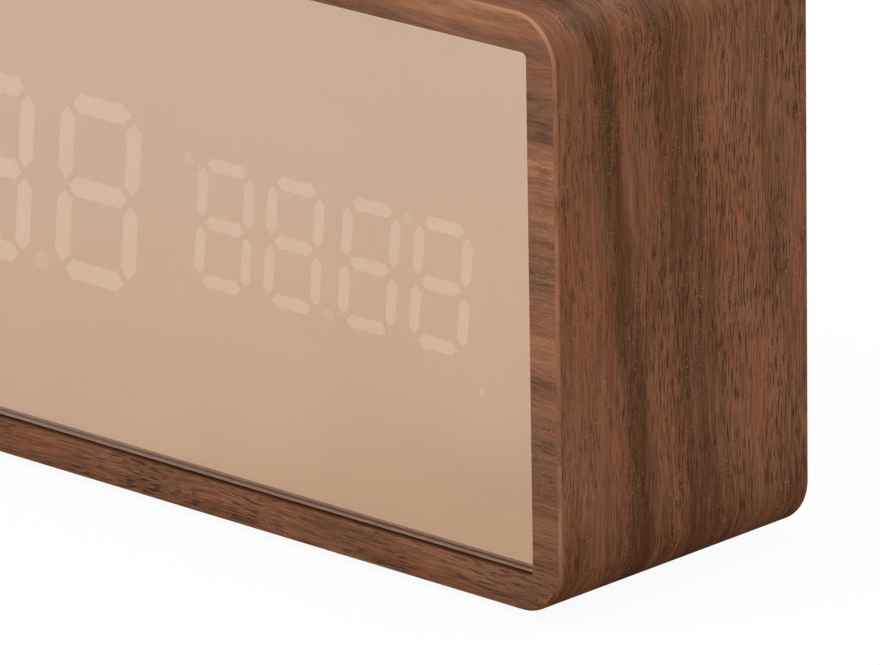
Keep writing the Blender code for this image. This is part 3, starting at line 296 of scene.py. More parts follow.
def plain_rough(name, dark, light, scale, roughness, gloss=0.5, detail=2.0, depth=0.00001):
    """Make a rough dull finish with a fine two-tone grain."""
    material, tree, shader = new_material(name)
    pattern = noise(tree, stretched(tree, object_place(tree), scale), detail=detail)
    fill(tree, shader, Base_Color=two_tone(tree, pattern, dark, light), Specular_IOR_Level=gloss,
         Roughness=varied(tree, pattern, *roughness), Normal=bumped(tree, pattern, depth))
    return material


print("material helpers ready")

# %% [markdown]
# ## The floor
# A plain white floor takes the clock's soft shadow as paper does. The camera, mirrors and glass
# see it nearly pure white: the Light Path node tells which ray meets it, and the material turns
# from the lit surface to an even glow.

# %% Make the floor
FLOOR_SIZE = 16.0
FLOOR_WHITE = (0.78, 0.78, 0.78, 1.0)
FLOOR_ROUGHNESS = 0.9
SEEN_WHITE = 0.94


def seen_or_lit(tree, lit, seen):
    """Return one value for light on the clock and another for what an eye sees."""
    path = tree.nodes.new("ShaderNodeLightPath").outputs
    looks = calculate(tree, "ADD", path["Is Camera Ray"], path["Is Glossy Ray"])
    looks = calculate(tree, "ADD", looks, path["Is Transmission Ray"])
    return spread(tree, looks, 0.0, 1.0, lit, seen)


bpy.ops.object.select_all(action="DESELECT")
bpy.ops.mesh.primitive_plane_add(size=FLOOR_SIZE, location=(0.0, 0.0, 0.0))
floor = bpy.context.object
floor.name = "floor"
floor_material, tree, shader = new_material("white_floor")
fill(tree, shader, Base_Color=FLOOR_WHITE, Roughness=FLOOR_ROUGHNESS)
glow = tree.nodes.new("ShaderNodeEmission")
blend = tree.nodes.new("ShaderNodeMixShader")
feed(tree, blend.inputs[0], seen_or_lit(tree, 0.0, SEEN_WHITE))
tree.links.new(shader.outputs[0], blend.inputs[1])
tree.links.new(glow.outputs[0], blend.inputs[2])
tree.links.new(blend.outputs[0], tree.nodes["Material Output"].inputs["Surface"])
floor.data.materials.append(floor_material)
print("floor:", FLOOR_SIZE, "m wide")

# %% [markdown]
# ## The room and the lamps
# Large soft lamps from the upper left, the right and above give the picture's gentle light, and
# a pale world fills the shadows. A fourth lamp behind is only mirrored, like a white card: it
# gives the rounded top edge its sheen and lights nothing.

# %% Make the world and the lamps
WORLD_FILL = 0.45
PURE_WHITE = (1.0, 1.0, 1.0, 1.0)
LAMPS = {  # place, size in metres, power in watts
    "key_lamp": ((-0.55, -1.00, 0.95), 1.0, 14.0),
    "side_lamp": ((1.20, -0.35, 0.60), 0.9, 7.8),
    "top_lamp": ((0.10, 0.35, 1.20), 1.0, 8.0),
    "sheen_lamp": ((0.33, 0.86, 0.82), 1.0, 8.0),
}
CLOCK_MIDDLE = (CAD_BOX[0] + CAD_BOX[1]) / 2
world = bpy.data.worlds.new("pale_room")
world.use_nodes = True
bpy.context.scene.world = world
tree = world.node_tree
fill(tree, tree.nodes["Background"], Color=PURE_WHITE, Strength=seen_or_lit(tree, WORLD_FILL, 1.0))
for name, (place, size, power) in LAMPS.items():
    bpy.ops.object.light_add(type="AREA", location=place)
    lamp = bpy.context.object
    lamp.name = name
    lamp.data.size = size
    lamp.data.energy = power
    lamp.visible_camera = False
    lamp.rotation_euler = (CLOCK_MIDDLE - Vector(place)).to_track_quat("-Z", "Y").to_euler()
bpy.data.objects["sheen_lamp"].visible_diffuse = False
bpy.context.scene.view_settings.view_transform = "Standard"
print("lamps:", ", ".join(LAMPS))

# %% [markdown]
# ## The walnut figure
# Walnut veneer is a thin slice across growth rings. It shows broad dark and light bands, soft
# streaks, fine fibres and short open pores, all long in the grain's direction. A few pale specks
# over them are painted highlights. One node group makes this figure from coordinates in metres,
# x along the grain and y across it, so that the sides and the front rim can share it. Each
# effect is noise, stretched to the length and width of the real marks.

# %% Build the walnut figure as a node group
FIGURE = {  # length and width in metres, where the pattern starts, and its detail
    "streaks": (0.018, 0.0012, 0.0, 3.0),
    "fibres": (0.0060, 0.00024, 0.0, 2.0),
    "pores": (0.0024, 0.00028, 7.0, 1.0),
    "pore_field": (0.016, 0.0060, 3.0, 2.0),
    # painted highlights: pale specks that stand for light glinting in the wood
    "painted_glints": (0.00034, 0.00020, 5.0, 0.0),
    "painted_glint_field": (0.012, 0.004, 8.0, 2.0),
    "redness": (0.020, 0.0032, 1.9, 2.0),
}
RANGES = {  # the part of a pattern's range that counts, and what it becomes
    "pores": (0.53, 0.62),
    "pore_field": (0.36, 0.60, 0.25, 1.0),
    "painted_glints": (0.68, 0.80),
    "painted_glint_field": (0.45, 0.62, 0.06, 0.44),
    "redness": (0.38, 0.62, 0.2, 0.75),
}
SWAY = (0.050, 0.020, 0.0, 0.0012)
FIBRE_STRENGTH = 0.60
PORE_STRENGTH = -0.34
PORE_SHARE = 0.08
walnut, given, result = new_group("walnut_figure", ("Vector", "Band", "Streaks", "Pores"),
                                  ("Tone", "Red", "Painted_glint", "Height"))
swaying = walnut.nodes.new("ShaderNodeVectorMath")
feed(walnut, swaying.inputs[0], given["Vector"])
feed(walnut, swaying.inputs[1], joined(walnut, y=wandering(walnut, given["Vector"], *SWAY)))
marks = {name: grained(walnut, swaying.outputs[0], *sizes) for name, sizes in FIGURE.items()}
marks.update({name: spread(walnut, marks[name], *ends) for name, ends in RANGES.items()})
open_pores = calculate(walnut, "MULTIPLY", marks["pores"], marks["pore_field"])


def effect(pattern, middle, strength):
    """Scale how far a pattern is from its middle."""
    return calculate(walnut, "MULTIPLY", calculate(walnut, "SUBTRACT", pattern, middle), strength)


fine = calculate(walnut, "ADD", effect(marks["fibres"], 0.5, FIBRE_STRENGTH),
                 effect(open_pores, PORE_SHARE, PORE_STRENGTH))
fine = calculate(walnut, "MULTIPLY", fine, given["Pores"])
tone = calculate(walnut, "ADD", given["Band"], effect(marks["streaks"], 0.5, given["Streaks"]))
feed(walnut, result["Tone"], calculate(walnut, "ADD", tone, fine))
feed(walnut, result["Red"], marks["redness"])
# the share of painted highlight, which the veneers mix in as a pale colour
feed(walnut, result["Painted_glint"], calculate(walnut, "MULTIPLY", marks["painted_glints"], marks["painted_glint_field"]))
feed(walnut, result["Height"], calculate(walnut, "SUBTRACT", marks["fibres"], open_pores))
print("walnut figure nodes:", len(walnut.nodes))

# %% [markdown]
# ## Veneer and lacquer
# The sleeve's veneer is wrapped round the case, and the front rim is a separate strip. Both are
# made in the same way: the figure's tone picks a brown and a redder brown, and pale specks of
# painted highlight lie over them. A thin satin lacquer is a coat over the wood, weaker along the
# lower edge, which stays dark though it faces the white floor. A row such as `LACQUER` gives two
# heights in metres, and the value at each.

# %% Make a veneer from grain and bands
TONE_STEPS = (0.0, 0.25, 0.5, 0.75, 1.0)
BROWNS = ((62, 33, 10), (81, 51, 29), (104, 68, 46), (124, 81, 56), (150, 104, 80))
REDS = ((66, 30, 7), (85, 47, 24), (110, 64, 40), (130, 76, 50), (155, 98, 74))
RIM_BROWNS = ((56, 39, 26), (80, 55, 39), (103, 71, 52), (125, 86, 63), (153, 107, 77))
RIM_REDS = ((60, 36, 23), (84, 52, 35), (109, 68, 48), (131, 83, 58), (158, 103, 71))
# the colour of the painted highlights
PAINTED_GLINT_COLOUR = srgb(180, 140, 112)
BARE_WOOD_AND_HIGHLIGHT = srgb(188, 133, 101)
WOOD_ROUGHNESS = (0.40, 0.56)
PORE_DEPTH = 0.00004
LACQUER = (0.003, 0.010, 0.05, 0.2)
LACQUER_ROUGHNESS = 0.42


def tones(tree, tone, palette):
    """Colour the figure's tone with a palette from dark to light."""
    return colour_ramp(tree, tone, [(step, srgb(*wood)) for step, wood in zip(TONE_STEPS, palette)])


def veneer(name, run, bands, pores, palettes, streaks, wear_and_highlight=None):
    """Make a walnut finish from grain coordinates, a band pattern and two palettes."""
    material, tree, shader = new_material(name)
    figure = use_group(tree, walnut, Vector=run(tree), Band=bands(tree), Streaks=streaks,
                       Pores=pores(tree))
    browns, reds = [tones(tree, figure["Tone"], palette) for palette in palettes]
    colour = mixed(tree, figure["Red"], browns, reds)
    # painted highlights: pale specks laid over the wood's colour
    colour = mixed(tree, figure["Painted_glint"], colour, PAINTED_GLINT_COLOUR)
    # the arris: worn, paler wood with a painted highlight
    if wear_and_highlight:
        colour = mixed(tree, wear_and_highlight(tree), colour, BARE_WOOD_AND_HIGHLIGHT)
    fill(tree, shader, Base_Color=colour, Normal=bumped(tree, figure["Height"], PORE_DEPTH),
         Roughness=spread(tree, figure["Tone"], 0.0, 1.0, *WOOD_ROUGHNESS),
         Coat_Weight=spread(tree, height_in(tree), *LACQUER),
         Coat_Roughness=LACQUER_ROUGHNESS, Specular_IOR_Level=0.0)
    return material


print("palettes of", len(TONE_STEPS), "tones")

# %% [markdown]
# ## The wrapped sides
# The grain follows the edge of the box, so a UV map measured in metres carries it round the
# corners. A ramp lays the broad bands at the depths where the picture shows them. Down the side
# they drift slightly to the back, and the pores open wider there.

# %% Lay the wrapped bands
CASE_DEPTH = 0.045
DRIFT = 0.10
SIDE_MIDDLE = 0.195
SIDE_REACH = 0.034
# painted shade: the sides darken towards the lower edge
LOW_PAINTED_SHADE = (0.001, 0.015, -0.24, 0.0)
WRAPPED_WANDER = (0.045, 0.030, 0.6, 0.002)
WRAPPED_PORES = (0.85, 1.70)
WRAPPED_BANDS = [(0.00, 0.46), (0.07, 0.51), (0.13, 0.47), (0.19, 0.41), (0.225, 0.18), (0.27, 0.20),
                 (0.30, 0.40), (0.37, 0.46), (0.43, 0.39), (0.46, 0.23), (0.52, 0.27), (0.57, 0.31),
                 (0.62, 0.42), (0.70, 0.53), (0.80, 0.48), (0.86, 0.36), (0.92, 0.46), (1.00, 0.40)]


def greys(stops):
    """Turn pairs of place and grey value into colour stops."""
    return [(place, (grey, grey, grey, 1.0)) for place, grey in stops]


def wrapped_run(tree):
    """Grain coordinates that follow the sleeve's outline."""
    node = tree.nodes.new("ShaderNodeUVMap")
    node.uv_map = "wrap"
    return node.outputs["UV"]


def wrapped_bands(tree):
    """Lay broad bands at their depths, with painted shade along the lower edge."""
    along, depth = split(tree, wrapped_run(tree))[:2]
    drift = spread(tree, along, SIDE_MIDDLE - SIDE_REACH, SIDE_MIDDLE + SIDE_REACH,
                   -DRIFT * SIDE_REACH, DRIFT * SIDE_REACH)
    offset = calculate(tree, "ADD", drift, wandering(tree, wrapped_run(tree), *WRAPPED_WANDER))
    share = spread(tree, calculate(tree, "ADD", depth, offset), -CASE_DEPTH / 2, CASE_DEPTH / 2)
    # painted shade along the lower edge, by height
    painted_shade = spread(tree, height_in(tree), *LOW_PAINTED_SHADE)
    return calculate(tree, "ADD", colour_ramp(tree, share, greys(WRAPPED_BANDS)), painted_shade)


def wrapped_pores(tree):
    """Open the pores more towards the back of the case."""
    depth = split(tree, wrapped_run(tree))[1]
    return spread(tree, depth, -CASE_DEPTH / 2, CASE_DEPTH / 2, *WRAPPED_PORES)


wrap_veneer = veneer("wrap_veneer", wrapped_run, wrapped_bands, wrapped_pores, (BROWNS, REDS),
                     streaks=0.62)
print("bands round the sleeve:", len(WRAPPED_BANDS))

# %% [markdown]
# ## The front rim
# The rim's strips have level grain all round, so their coordinates are simply x and z. Its bands
# lie at their heights, and the pores open more below. The lightest band, along the top, is partly
# the veneer's figure and partly painted light from above.

# %% Lay the level bands
CASE_TOP = 0.0762
LEVEL_WANDER = (0.012, 0.030, 4.4, 0.0012)
LEVEL_PORES = (0.006, 0.012, 1.45, 0.60)
# the light bands near the top are partly painted light from above
LEVEL_BANDS = [(0.02, 0.43), (0.05, 0.53), (0.085, 0.46), (0.11, 0.50), (0.17, 0.60), (0.24, 0.42),
               (0.29, 0.50), (0.36, 0.64), (0.385, 0.46), (0.45, 0.78), (0.50, 0.62), (0.58, 0.52),
               (0.67, 0.66), (0.72, 0.72), (0.76, 0.86), (0.79, 0.60), (0.825, 0.36), (0.87, 0.60),
               (0.91, 0.60), (0.945, 0.52), (0.955, 0.62), (0.97, 0.80), (1.00, 0.74)]


def level_run(tree):
    """Grain coordinates that run level across the front rim."""
    place = split(tree, object_place(tree))
    return joined(tree, place[0], place[2])


def level_bands(tree):
    """Lay level bands across the rim at their heights."""
    wander = wandering(tree, level_run(tree), *LEVEL_WANDER)
    share = spread(tree, calculate(tree, "ADD", height_in(tree), wander), 0.0, CASE_TOP)
    return colour_ramp(tree, share, greys(LEVEL_BANDS))


def level_pores(tree):
    """Open the rim's pores more along the bottom."""
    return spread(tree, height_in(tree), *LEVEL_PORES)


rim_veneer = veneer("rim_veneer", level_run, level_bands, level_pores, (RIM_BROWNS, RIM_REDS),
                    streaks=0.78)
print("bands up the rim:", len(LEVEL_BANDS))

# %% [markdown]
# ## The pale arris and the rebate
# Where side and rim meet, sanding has cut through to paler wood, and a painted highlight lies
# along the edge as well, most of all along the top. It could be painted as a line, but a narrow
# bevel with its own finish follows the edge exactly. The walls of the opening are a dark brown
# painted shade, so that the gap round the lens hardly shows.

# %% Make the arris and the rebate finishes
# the pale arris is part sanding wear, part painted highlight that is strongest along the top
WEAR_RATE = 70.0
PATCHY_WEAR_AND_HIGHLIGHT = (0.38, 0.66, 0.04, 0.36)
TOP_WEAR_AND_HIGHLIGHT = (0.066, 0.074, 0.0, 0.30)


def arris_wear_and_highlight(tree):
    """Paler wood along the edge, part sanding wear and part painted highlight: patchy, and strongest
    along the top.
    """
    along = split(tree, wrapped_run(tree))[0]
    patches = noise(tree, joined(tree, calculate(tree, "MULTIPLY", along, WEAR_RATE)), detail=3.0)
    top = spread(tree, height_in(tree), *TOP_WEAR_AND_HIGHLIGHT)
    return calculate(tree, "ADD", spread(tree, patches, *PATCHY_WEAR_AND_HIGHLIGHT), top, clamp=True)


arris_veneer = veneer("arris_veneer", wrapped_run, wrapped_bands, wrapped_pores, (BROWNS, REDS),
                      streaks=0.42, wear_and_highlight=arris_wear_and_highlight)
# painted shade: the opening's walls are dark brown, so the gap round the lens looks shadowed
rebate_painted_shade = plain_rough("rebate_painted_shade", (60, 36, 20), (80, 50, 30), (120.0, 900.0, 120.0),
                           (0.75, 0.9), gloss=0.1, detail=3.0, depth=PORE_DEPTH)
print("finishes:", wrap_veneer.name, rim_veneer.name, arris_veneer.name, rebate_painted_shade.name)

# %% [markdown]
# ## Modelling helpers
# Each new piece starts as a primitive at its real size. Everything is deselected first, because
# the loaded solids are still selected. The piece's place goes into its mesh, so that the object
# itself stays at the origin.

# %% Helpers that start a piece
X_AXIS, Y_AXIS, Z_AXIS = 0, 1, 2
MERGE_DISTANCE = 0.000001


def hold(piece):
    """Select one piece and nothing else."""
    bpy.ops.object.select_all(action="DESELECT")
    piece.select_set(True)
    bpy.context.view_layer.objects.active = piece


def named(name):
    """Put the new primitive's place into its mesh, name it and return it."""
    bpy.ops.object.transform_apply(location=True, rotation=True, scale=True)
    piece = bpy.context.object
    piece.name = piece.data.name = name
    return piece


def add_block(name, low, high):
    """Add a box between two corners."""
    bpy.ops.object.select_all(action="DESELECT")
    low, high = Vector(low), Vector(high)
    bpy.ops.mesh.primitive_cube_add(size=1.0, location=(low + high) / 2, scale=high - low)
    return named(name)


def add_round(name, radius, length, middle, turn=(0.0, 0.0, 0.0), sides=64):
    """Add a round bar about its middle; it stands upright unless it is turned."""
    bpy.ops.object.select_all(action="DESELECT")
    bpy.ops.mesh.primitive_cylinder_add(vertices=sides, radius=radius, depth=length, location=middle,
                                        rotation=turn)
    return named(name)


def placed_copy(source, name, shift):
    """Copy a piece with a mesh of its own, moved inside the mesh."""
    piece = bpy.data.objects.new(name, source.data.copy())
    piece.data.name = name
    piece.data.transform(Matrix.Translation(shift))
    bpy.context.collection.objects.link(piece)
    return piece


print("starting helpers ready")

# %% [markdown]
# Edges and faces are picked in code, by where they are or which way they face. Then they are
# bevelled, inset or extruded in edit mode, as by hand.


# %% Helpers that pick and shape
def pick(piece, kind, test):
    """Open a piece in edit mode with only what passes a test selected."""
    hold(piece)
    bpy.ops.object.mode_set(mode="EDIT")
    bpy.ops.mesh.select_mode(type=kind)
    bpy.ops.mesh.select_all(action="DESELECT")
    work = bmesh.from_edit_mesh(piece.data)
    for item in (work.edges if kind == "EDGE" else work.faces):
        if test(item):
            item.select_set(True)
    bmesh.update_edit_mesh(piece.data)


def leave_edit():
    """Go back to object mode."""
    bpy.ops.object.mode_set(mode="OBJECT")


def runs_along(axis):
    """Return a test for edges that run along an axis."""
    def test(edge):
        direction = edge.verts[1].co - edge.verts[0].co
        return abs(direction[axis]) > 0.99 * direction.length
    return test


def edges_at(place, axis=Y_AXIS):
    """Return a test for edges in the plane at a place on an axis."""
    return lambda edge: all(abs(vert.co[axis] - place) < MERGE_DISTANCE for vert in edge.verts)


def faces_at(place, direction, axis=Y_AXIS):
    """Return a test for flat faces at a place that face up (1) or down (-1) an axis."""
    return lambda face: (abs(face.calc_center_median()[axis] - place) < MERGE_DISTANCE
                         and face.normal[axis] * direction > 0.99)


def round_edges(piece, test, width, segments, finish=-1):
    """Bevel the edges that pass a test; finish is the new faces' material."""
    pick(piece, "EDGE", test)
    bpy.ops.mesh.bevel(offset=width, segments=segments, affect="EDGES", material=finish)
    leave_edit()


def inset(width):
    """Inset the selected face by a width."""
    bpy.ops.mesh.inset(thickness=width)


def extrude(distance, axis=Y_AXIS):
    """Extrude the selected face along an axis."""
    step = [0.0, 0.0, 0.0]
    step[axis] = distance
    bpy.ops.mesh.extrude_region_move(TRANSFORM_OT_translate={"value": step})


print("shaping helpers ready")

# %% [markdown]
# A boolean cuts a tool's shape out of a piece or joins it on. A piece can be shaded smooth,
# and a finished piece rides on its body and hides the solids that it stands for.


# %% Helpers that cut, shade and hang
def combine(piece, tool, operation):
    """Cut a tool's shape out of a piece or join it on; the tool goes."""
    modifier = piece.modifiers.new("tool", "BOOLEAN")
    modifier.operation = operation
    modifier.object = tool
    modifier.solver = "EXACT"
    hold(piece)
    bpy.ops.object.modifier_apply(modifier=modifier.name)
    bpy.data.objects.remove(tool, do_unlink=True)


def smooth(piece, degrees=35):
    """Shade rounded areas smooth and keep sharp edges sharp."""
    hold(piece)
    bpy.ops.object.shade_smooth_by_angle(angle=math.radians(degrees))


def finished(piece, body, slot, *nodes):
    """Hang a piece on its body and hide its solids; the slot, a finish's name, is not used."""
    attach(piece, body)
    if nodes:
        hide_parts(*nodes)
    print(piece.name, "faces:", len(piece.data.polygons))


def middle_of(node):
    """Return the middle of a solid's box."""
    low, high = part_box(node)
    return (low + high) / 2


print("lens middle at", [round(value, 4) for value in middle_of("front_lens")])

# %% [markdown]
# ## The veneered sleeve
# The case is a tube of veneered board, with round corners and a square-cut opening. It could be
# a bent profile, but a block with its long edges bevelled and its opening cut away is nearer to
# a joiner's way. The outer arrises are bevelled first, with a material of their own, so that
# the pale line follows them exactly.

# %% Shape the sleeve
CORNER_RADIUS = 0.0065
OPENING_RADIUS = 0.0006
OUTER_ARRIS = 0.00036
LENS_PLAY = 0.0003
TOP_PLAY = 0.00012
WRAP, RIM, ARRIS, REBATE = range(4)
sleeve_low, sleeve_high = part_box("case_sleeve")
lens_low, lens_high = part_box("front_lens")
sleeve = add_block("veneered_sleeve", sleeve_low, sleeve_high)
for material in (wrap_veneer, rim_veneer, arris_veneer, rebate_painted_shade):
    sleeve.data.materials.append(material)
round_edges(sleeve, runs_along(Y_AXIS), CORNER_RADIUS, 20)
round_edges(sleeve, lambda edge: abs(edge.verts[0].co.y - edge.verts[1].co.y) < MERGE_DISTANCE,
            OUTER_ARRIS, 3, ARRIS)
opening_low = Vector((lens_low.x - LENS_PLAY, 2 * sleeve_low.y, lens_low.z - LENS_PLAY))
opening_high = Vector((lens_high.x + LENS_PLAY, 2 * sleeve_high.y, lens_high.z + TOP_PLAY))
opening = add_block("opening_cutter", opening_low, opening_high)
round_edges(opening, runs_along(Y_AXIS), OPENING_RADIUS, 5)
combine(sleeve, opening, "DIFFERENCE")
print("sleeve faces after the cut:", len(sleeve.data.polygons))

# %% [markdown]
# The opening's own arrises are only just broken with sandpaper. Afterwards each face gets its
# finish by where it lies: rim at the front and back, painted shade on the opening's walls, and
# wrapped veneer outside.

# %% Break the opening's arrises and share out the finishes
INNER_ARRIS = 0.00018
NEAR = 0.00001
FLAT = 0.9


def in_opening(point, slack):
    """Say whether a point lies within the opening's outline, with some slack."""
    return (opening_low.x - slack < point.x < opening_high.x + slack
            and opening_low.z - slack < point.z < opening_high.z + slack)


def on_opening_arris(edge):
    """Say whether an edge is the opening's rim at the front or back face."""
    return all(abs(abs(vert.co.y) - sleeve_high.y) < MERGE_DISTANCE
               and in_opening(vert.co, MERGE_DISTANCE) for vert in edge.verts)


round_edges(sleeve, on_opening_arris, INNER_ARRIS, 2)
for face in sleeve.data.polygons:
    if face.material_index == ARRIS:
        continue
    if abs(face.normal.y) > FLAT:
        face.material_index = RIM
    elif in_opening(face.center, NEAR):
        face.material_index = REBATE if abs(face.center.y) < sleeve_high.y - INNER_ARRIS else RIM
    else:
        face.material_index = WRAP
smooth(sleeve)
print("sleeve faces:", len(sleeve.data.polygons))

# %% [markdown]
# The wrapped grain needs a UV map that measures the distance round the sleeve in metres. Each
# point of the outline has its own distance, from the left end of the underside, and the seam
# lies where nobody looks.


# %% Map the grain round the sleeve
def distance_round(x, z):
    """Return how far round the outline a point lies, from the left of the underside."""
    half_width = (sleeve_high.x - sleeve_low.x) / 2 - CORNER_RADIUS
    half_height = (sleeve_high.z - sleeve_low.z) / 2 - CORNER_RADIUS
    z -= (sleeve_high.z + sleeve_low.z) / 2
    quarter = CORNER_RADIUS * math.pi / 2
    out_x, out_z = abs(x) - half_width, abs(z) - half_height
    turn = math.atan2(max(out_z, 0.0), max(out_x, 0.0)) * CORNER_RADIUS
    if out_x > 0 and out_z > 0:
        edge = {(1, -1): 2 * half_width + quarter - turn,
                (1, 1): 2 * half_width + quarter + 2 * half_height + turn,
                (-1, 1): 4 * half_width + 2 * half_height + 3 * quarter - turn,
                (-1, -1): 4 * half_width + 4 * half_height + 3 * quarter + turn}
        return edge[(1 if x > 0 else -1, 1 if z > 0 else -1)]
    if out_z > out_x:
        return (x + half_width if z < 0
                else 2 * half_width + 2 * quarter + 2 * half_height + half_width - x)
    return (2 * half_width + quarter + z + half_height if x > 0
            else 4 * half_width + 2 * half_height + 3 * quarter + half_height - z)


PERIMETER = (2 * (sleeve_high.x - sleeve_low.x + sleeve_high.z - sleeve_low.z)
             - 8 * CORNER_RADIUS + 2 * math.pi * CORNER_RADIUS)
wrap_map = sleeve.data.uv_layers.new(name="wrap")
for face in sleeve.data.polygons:
    middle = distance_round(face.center.x, face.center.z)
    for loop in face.loop_indices:
        point = sleeve.data.vertices[sleeve.data.loops[loop].vertex_index].co
        along = distance_round(point.x, point.z)
        if abs(along - middle) > PERIMETER / 2:
            along += PERIMETER if along < middle else -PERIMETER
        wrap_map.data[loop].uv = (along, point.y)
print("distance round the sleeve in mm:", round(1000 * PERIMETER, 1))
finished(sleeve, "case", "walnut_veneer", "case_sleeve")

# %% [markdown]
# ## The tinted lens
# The lens is a clear plate with a rose-tinted half mirror on its back. Seen at a slant, the
# plate looks thinner than it is, so the mirror seems to lie about a millimetre behind the front
# face, and the plate's own edge shows as a narrow strip along the bottom. A refracting block
# would hide the mirror in many viewers, so the gloss is a thin front layer. A painted reflection
# lies in it, a pale share that grows upwards from a sloping line, like a pale room's reflection
# above a table's edge. The rose of the half mirror is darker down the same slope, a painted
# reflection of the shade on the floor before the clock.

# %% Make the gloss and the half mirror
SLOPE = 0.226
SLOPE_FROM, SLOPE_TO = -0.010, 0.060
PAINTED_REFLECTION_STOPS = [(0.0, 0.0), (0.15, 0.013), (0.29, 0.056), (0.44, 0.074), (0.93, 0.138)]
# the rose tint, darker low down: a painted reflection of the shade on the floor
ROSE_AND_PAINTED_SHADE_STOPS = [(0.15, srgb(212, 174, 141)), (0.29, srgb(222, 182, 147)), (0.44, srgb(227, 185, 149)),
              (0.93, srgb(227, 186, 151))]
SMEAR_SCALE = (26.0, 26.0, 60.0)
CLOUD_SCALE = (26.0, 26.0, 40.0)


def up_the_slope(tree):
    """Return how far a point of the lens lies above a sloping line, from 0 to 1."""
    place = split(tree, object_place(tree))
    level = calculate(tree, "SUBTRACT", place[2], calculate(tree, "MULTIPLY", place[0], SLOPE))
    return spread(tree, level, SLOPE_FROM, SLOPE_TO)


gloss_material, tree, shader = new_material("lens_gloss")
smear = noise(tree, stretched(tree, object_place(tree), SMEAR_SCALE), detail=4.0)
# painted reflection: a pale share that grows up the slope
painted_reflection = colour_ramp(tree, up_the_slope(tree), greys(PAINTED_REFLECTION_STOPS))
fill(tree, shader, Base_Color=two_tone(tree, smear, (244, 246, 250), (255, 254, 252)), Metallic=1.0,
     Roughness=varied(tree, smear, 0.03, 0.06),
     Alpha=calculate(tree, "ADD", painted_reflection, varied(tree, smear, 0.0, 0.014)))

mirror_material, tree, shader = new_material("rose_half_mirror")
cloud = noise(tree, stretched(tree, object_place(tree), CLOUD_SCALE), detail=2.0)
# painted shade down the slope, with the coating's clouds
painted_shade_and_cloud = calculate(tree, "ADD", up_the_slope(tree), varied(tree, cloud, -0.06, 0.06))
fill(tree, shader, Base_Color=colour_ramp(tree, painted_shade_and_cloud, ROSE_AND_PAINTED_SHADE_STOPS), Metallic=1.0,
     Roughness=varied(tree, cloud, 0.10, 0.14), Alpha=varied(tree, cloud, 0.74, 0.76))
print("lens materials:", gloss_material.name, mirror_material.name)

# %% [markdown]
# The plate's edges are sawn and never polished. Their colours are painted: a painted reflection
# of the dark rebate in dark brown, and painted light along the top, pale where they would catch
# the room. A thin margin round the mirror is left bare.

# %% Shape the lens
GLASS_DEPTH = 0.00106
MIRROR_MARGIN = 0.00015
FINE_SAWN = (300.0, 5000.0, 300.0)
COARSE_SAWN = (500.0, 500.0, 500.0)
GLOSS, EDGE, MIRROR, MARGIN, TOP_EDGE = range(5)
# painted reflection on the edges, and painted light on the top edge
edge_painted_reflection = plain_rough("lens_edge", (70, 42, 28), (90, 56, 40), FINE_SAWN, (0.3, 0.5))
top_edge_painted_light = plain_rough("lens_top_edge", (206, 176, 150), (222, 194, 168), FINE_SAWN,
                                (0.3, 0.5))
margin_material = plain_rough("lens_margin", (78, 50, 32), (94, 62, 40), COARSE_SAWN, (0.5, 0.7), 0.1)
lens = add_block("tinted_lens", lens_low, (lens_high.x, lens_low.y + GLASS_DEPTH, lens_high.z))
for material in (gloss_material, edge_painted_reflection, mirror_material, margin_material, top_edge_painted_light):
    lens.data.materials.append(material)
for face in lens.data.polygons:
    way = face.normal
    face.material_index = (MARGIN if way.y > FLAT else GLOSS if way.y < -FLAT
                           else TOP_EDGE if way.z > FLAT else EDGE)
pick(lens, "FACE", faces_at(lens_low.y + GLASS_DEPTH, 1))
inset(MIRROR_MARGIN)
bpy.context.object.active_material_index = MIRROR
bpy.ops.object.material_slot_assign()
leave_edit()
finished(lens, "case", "tinted_mirror", "front_lens")

# %% [markdown]
# ## Moulded plastic, rubber, boards and metal
# The other solids keep their shapes and get the finish of their kind. Moulded plastic has a
# fine spark-eroded skin, circuit boards have a glossy mask with paler patches, and metal has a
# faint brushing. Two node groups give these effects to many materials.

# %% Build the shared surface effects
SKIN_TONE_SCALE = 90.0
METAL_TONE_SCALE = 220.0
skin, given, result = new_group("moulded_skin", ("Vector", "Grain"), ("Height", "Tone"))
feed(skin, result["Height"], noise(skin, given["Vector"], given["Grain"], detail=3.0))
feed(skin, result["Tone"], noise(skin, given["Vector"], SKIN_TONE_SCALE, detail=4.0))

brushing, given, result = new_group("brushed_metal", ("Vector", "Stretch"), ("Height", "Tone"))
lengthened = brushing.nodes.new("ShaderNodeVectorMath")
lengthened.operation = "MULTIPLY"
feed(brushing, lengthened.inputs[0], given["Vector"])
feed(brushing, lengthened.inputs[1], given["Stretch"])
feed(brushing, result["Height"], noise(brushing, lengthened.outputs[0], detail=3.0))
feed(brushing, result["Tone"], noise(brushing, given["Vector"], METAL_TONE_SCALE, detail=2.0))
print("surface effects:", skin.name, brushing.name)

# %% [markdown]
# A finish takes its colour, its roughness and its bump from one of the two effects. Plastics
# and rubber differ in gloss and grain, metals in the direction of their brushing.

# %% Helpers that make the plain finishes
TONE_REACH = 0.15
BRUSH_DEPTH = 0.000008


def surfaced(name, shared, values, dark, light, roughness, depth, **constants):
    """Make a finish whose colour, roughness and bump come from a shared effect."""
    material, tree, shader = new_material(name)
    surface = use_group(tree, shared, Vector=object_place(tree), **values)
    fill(tree, shader, Base_Color=two_tone(tree, surface["Tone"], dark, light, TONE_REACH),
         Roughness=varied(tree, surface["Tone"], *roughness, TONE_REACH),
         Normal=bumped(tree, surface["Height"], depth), **constants)
    return material


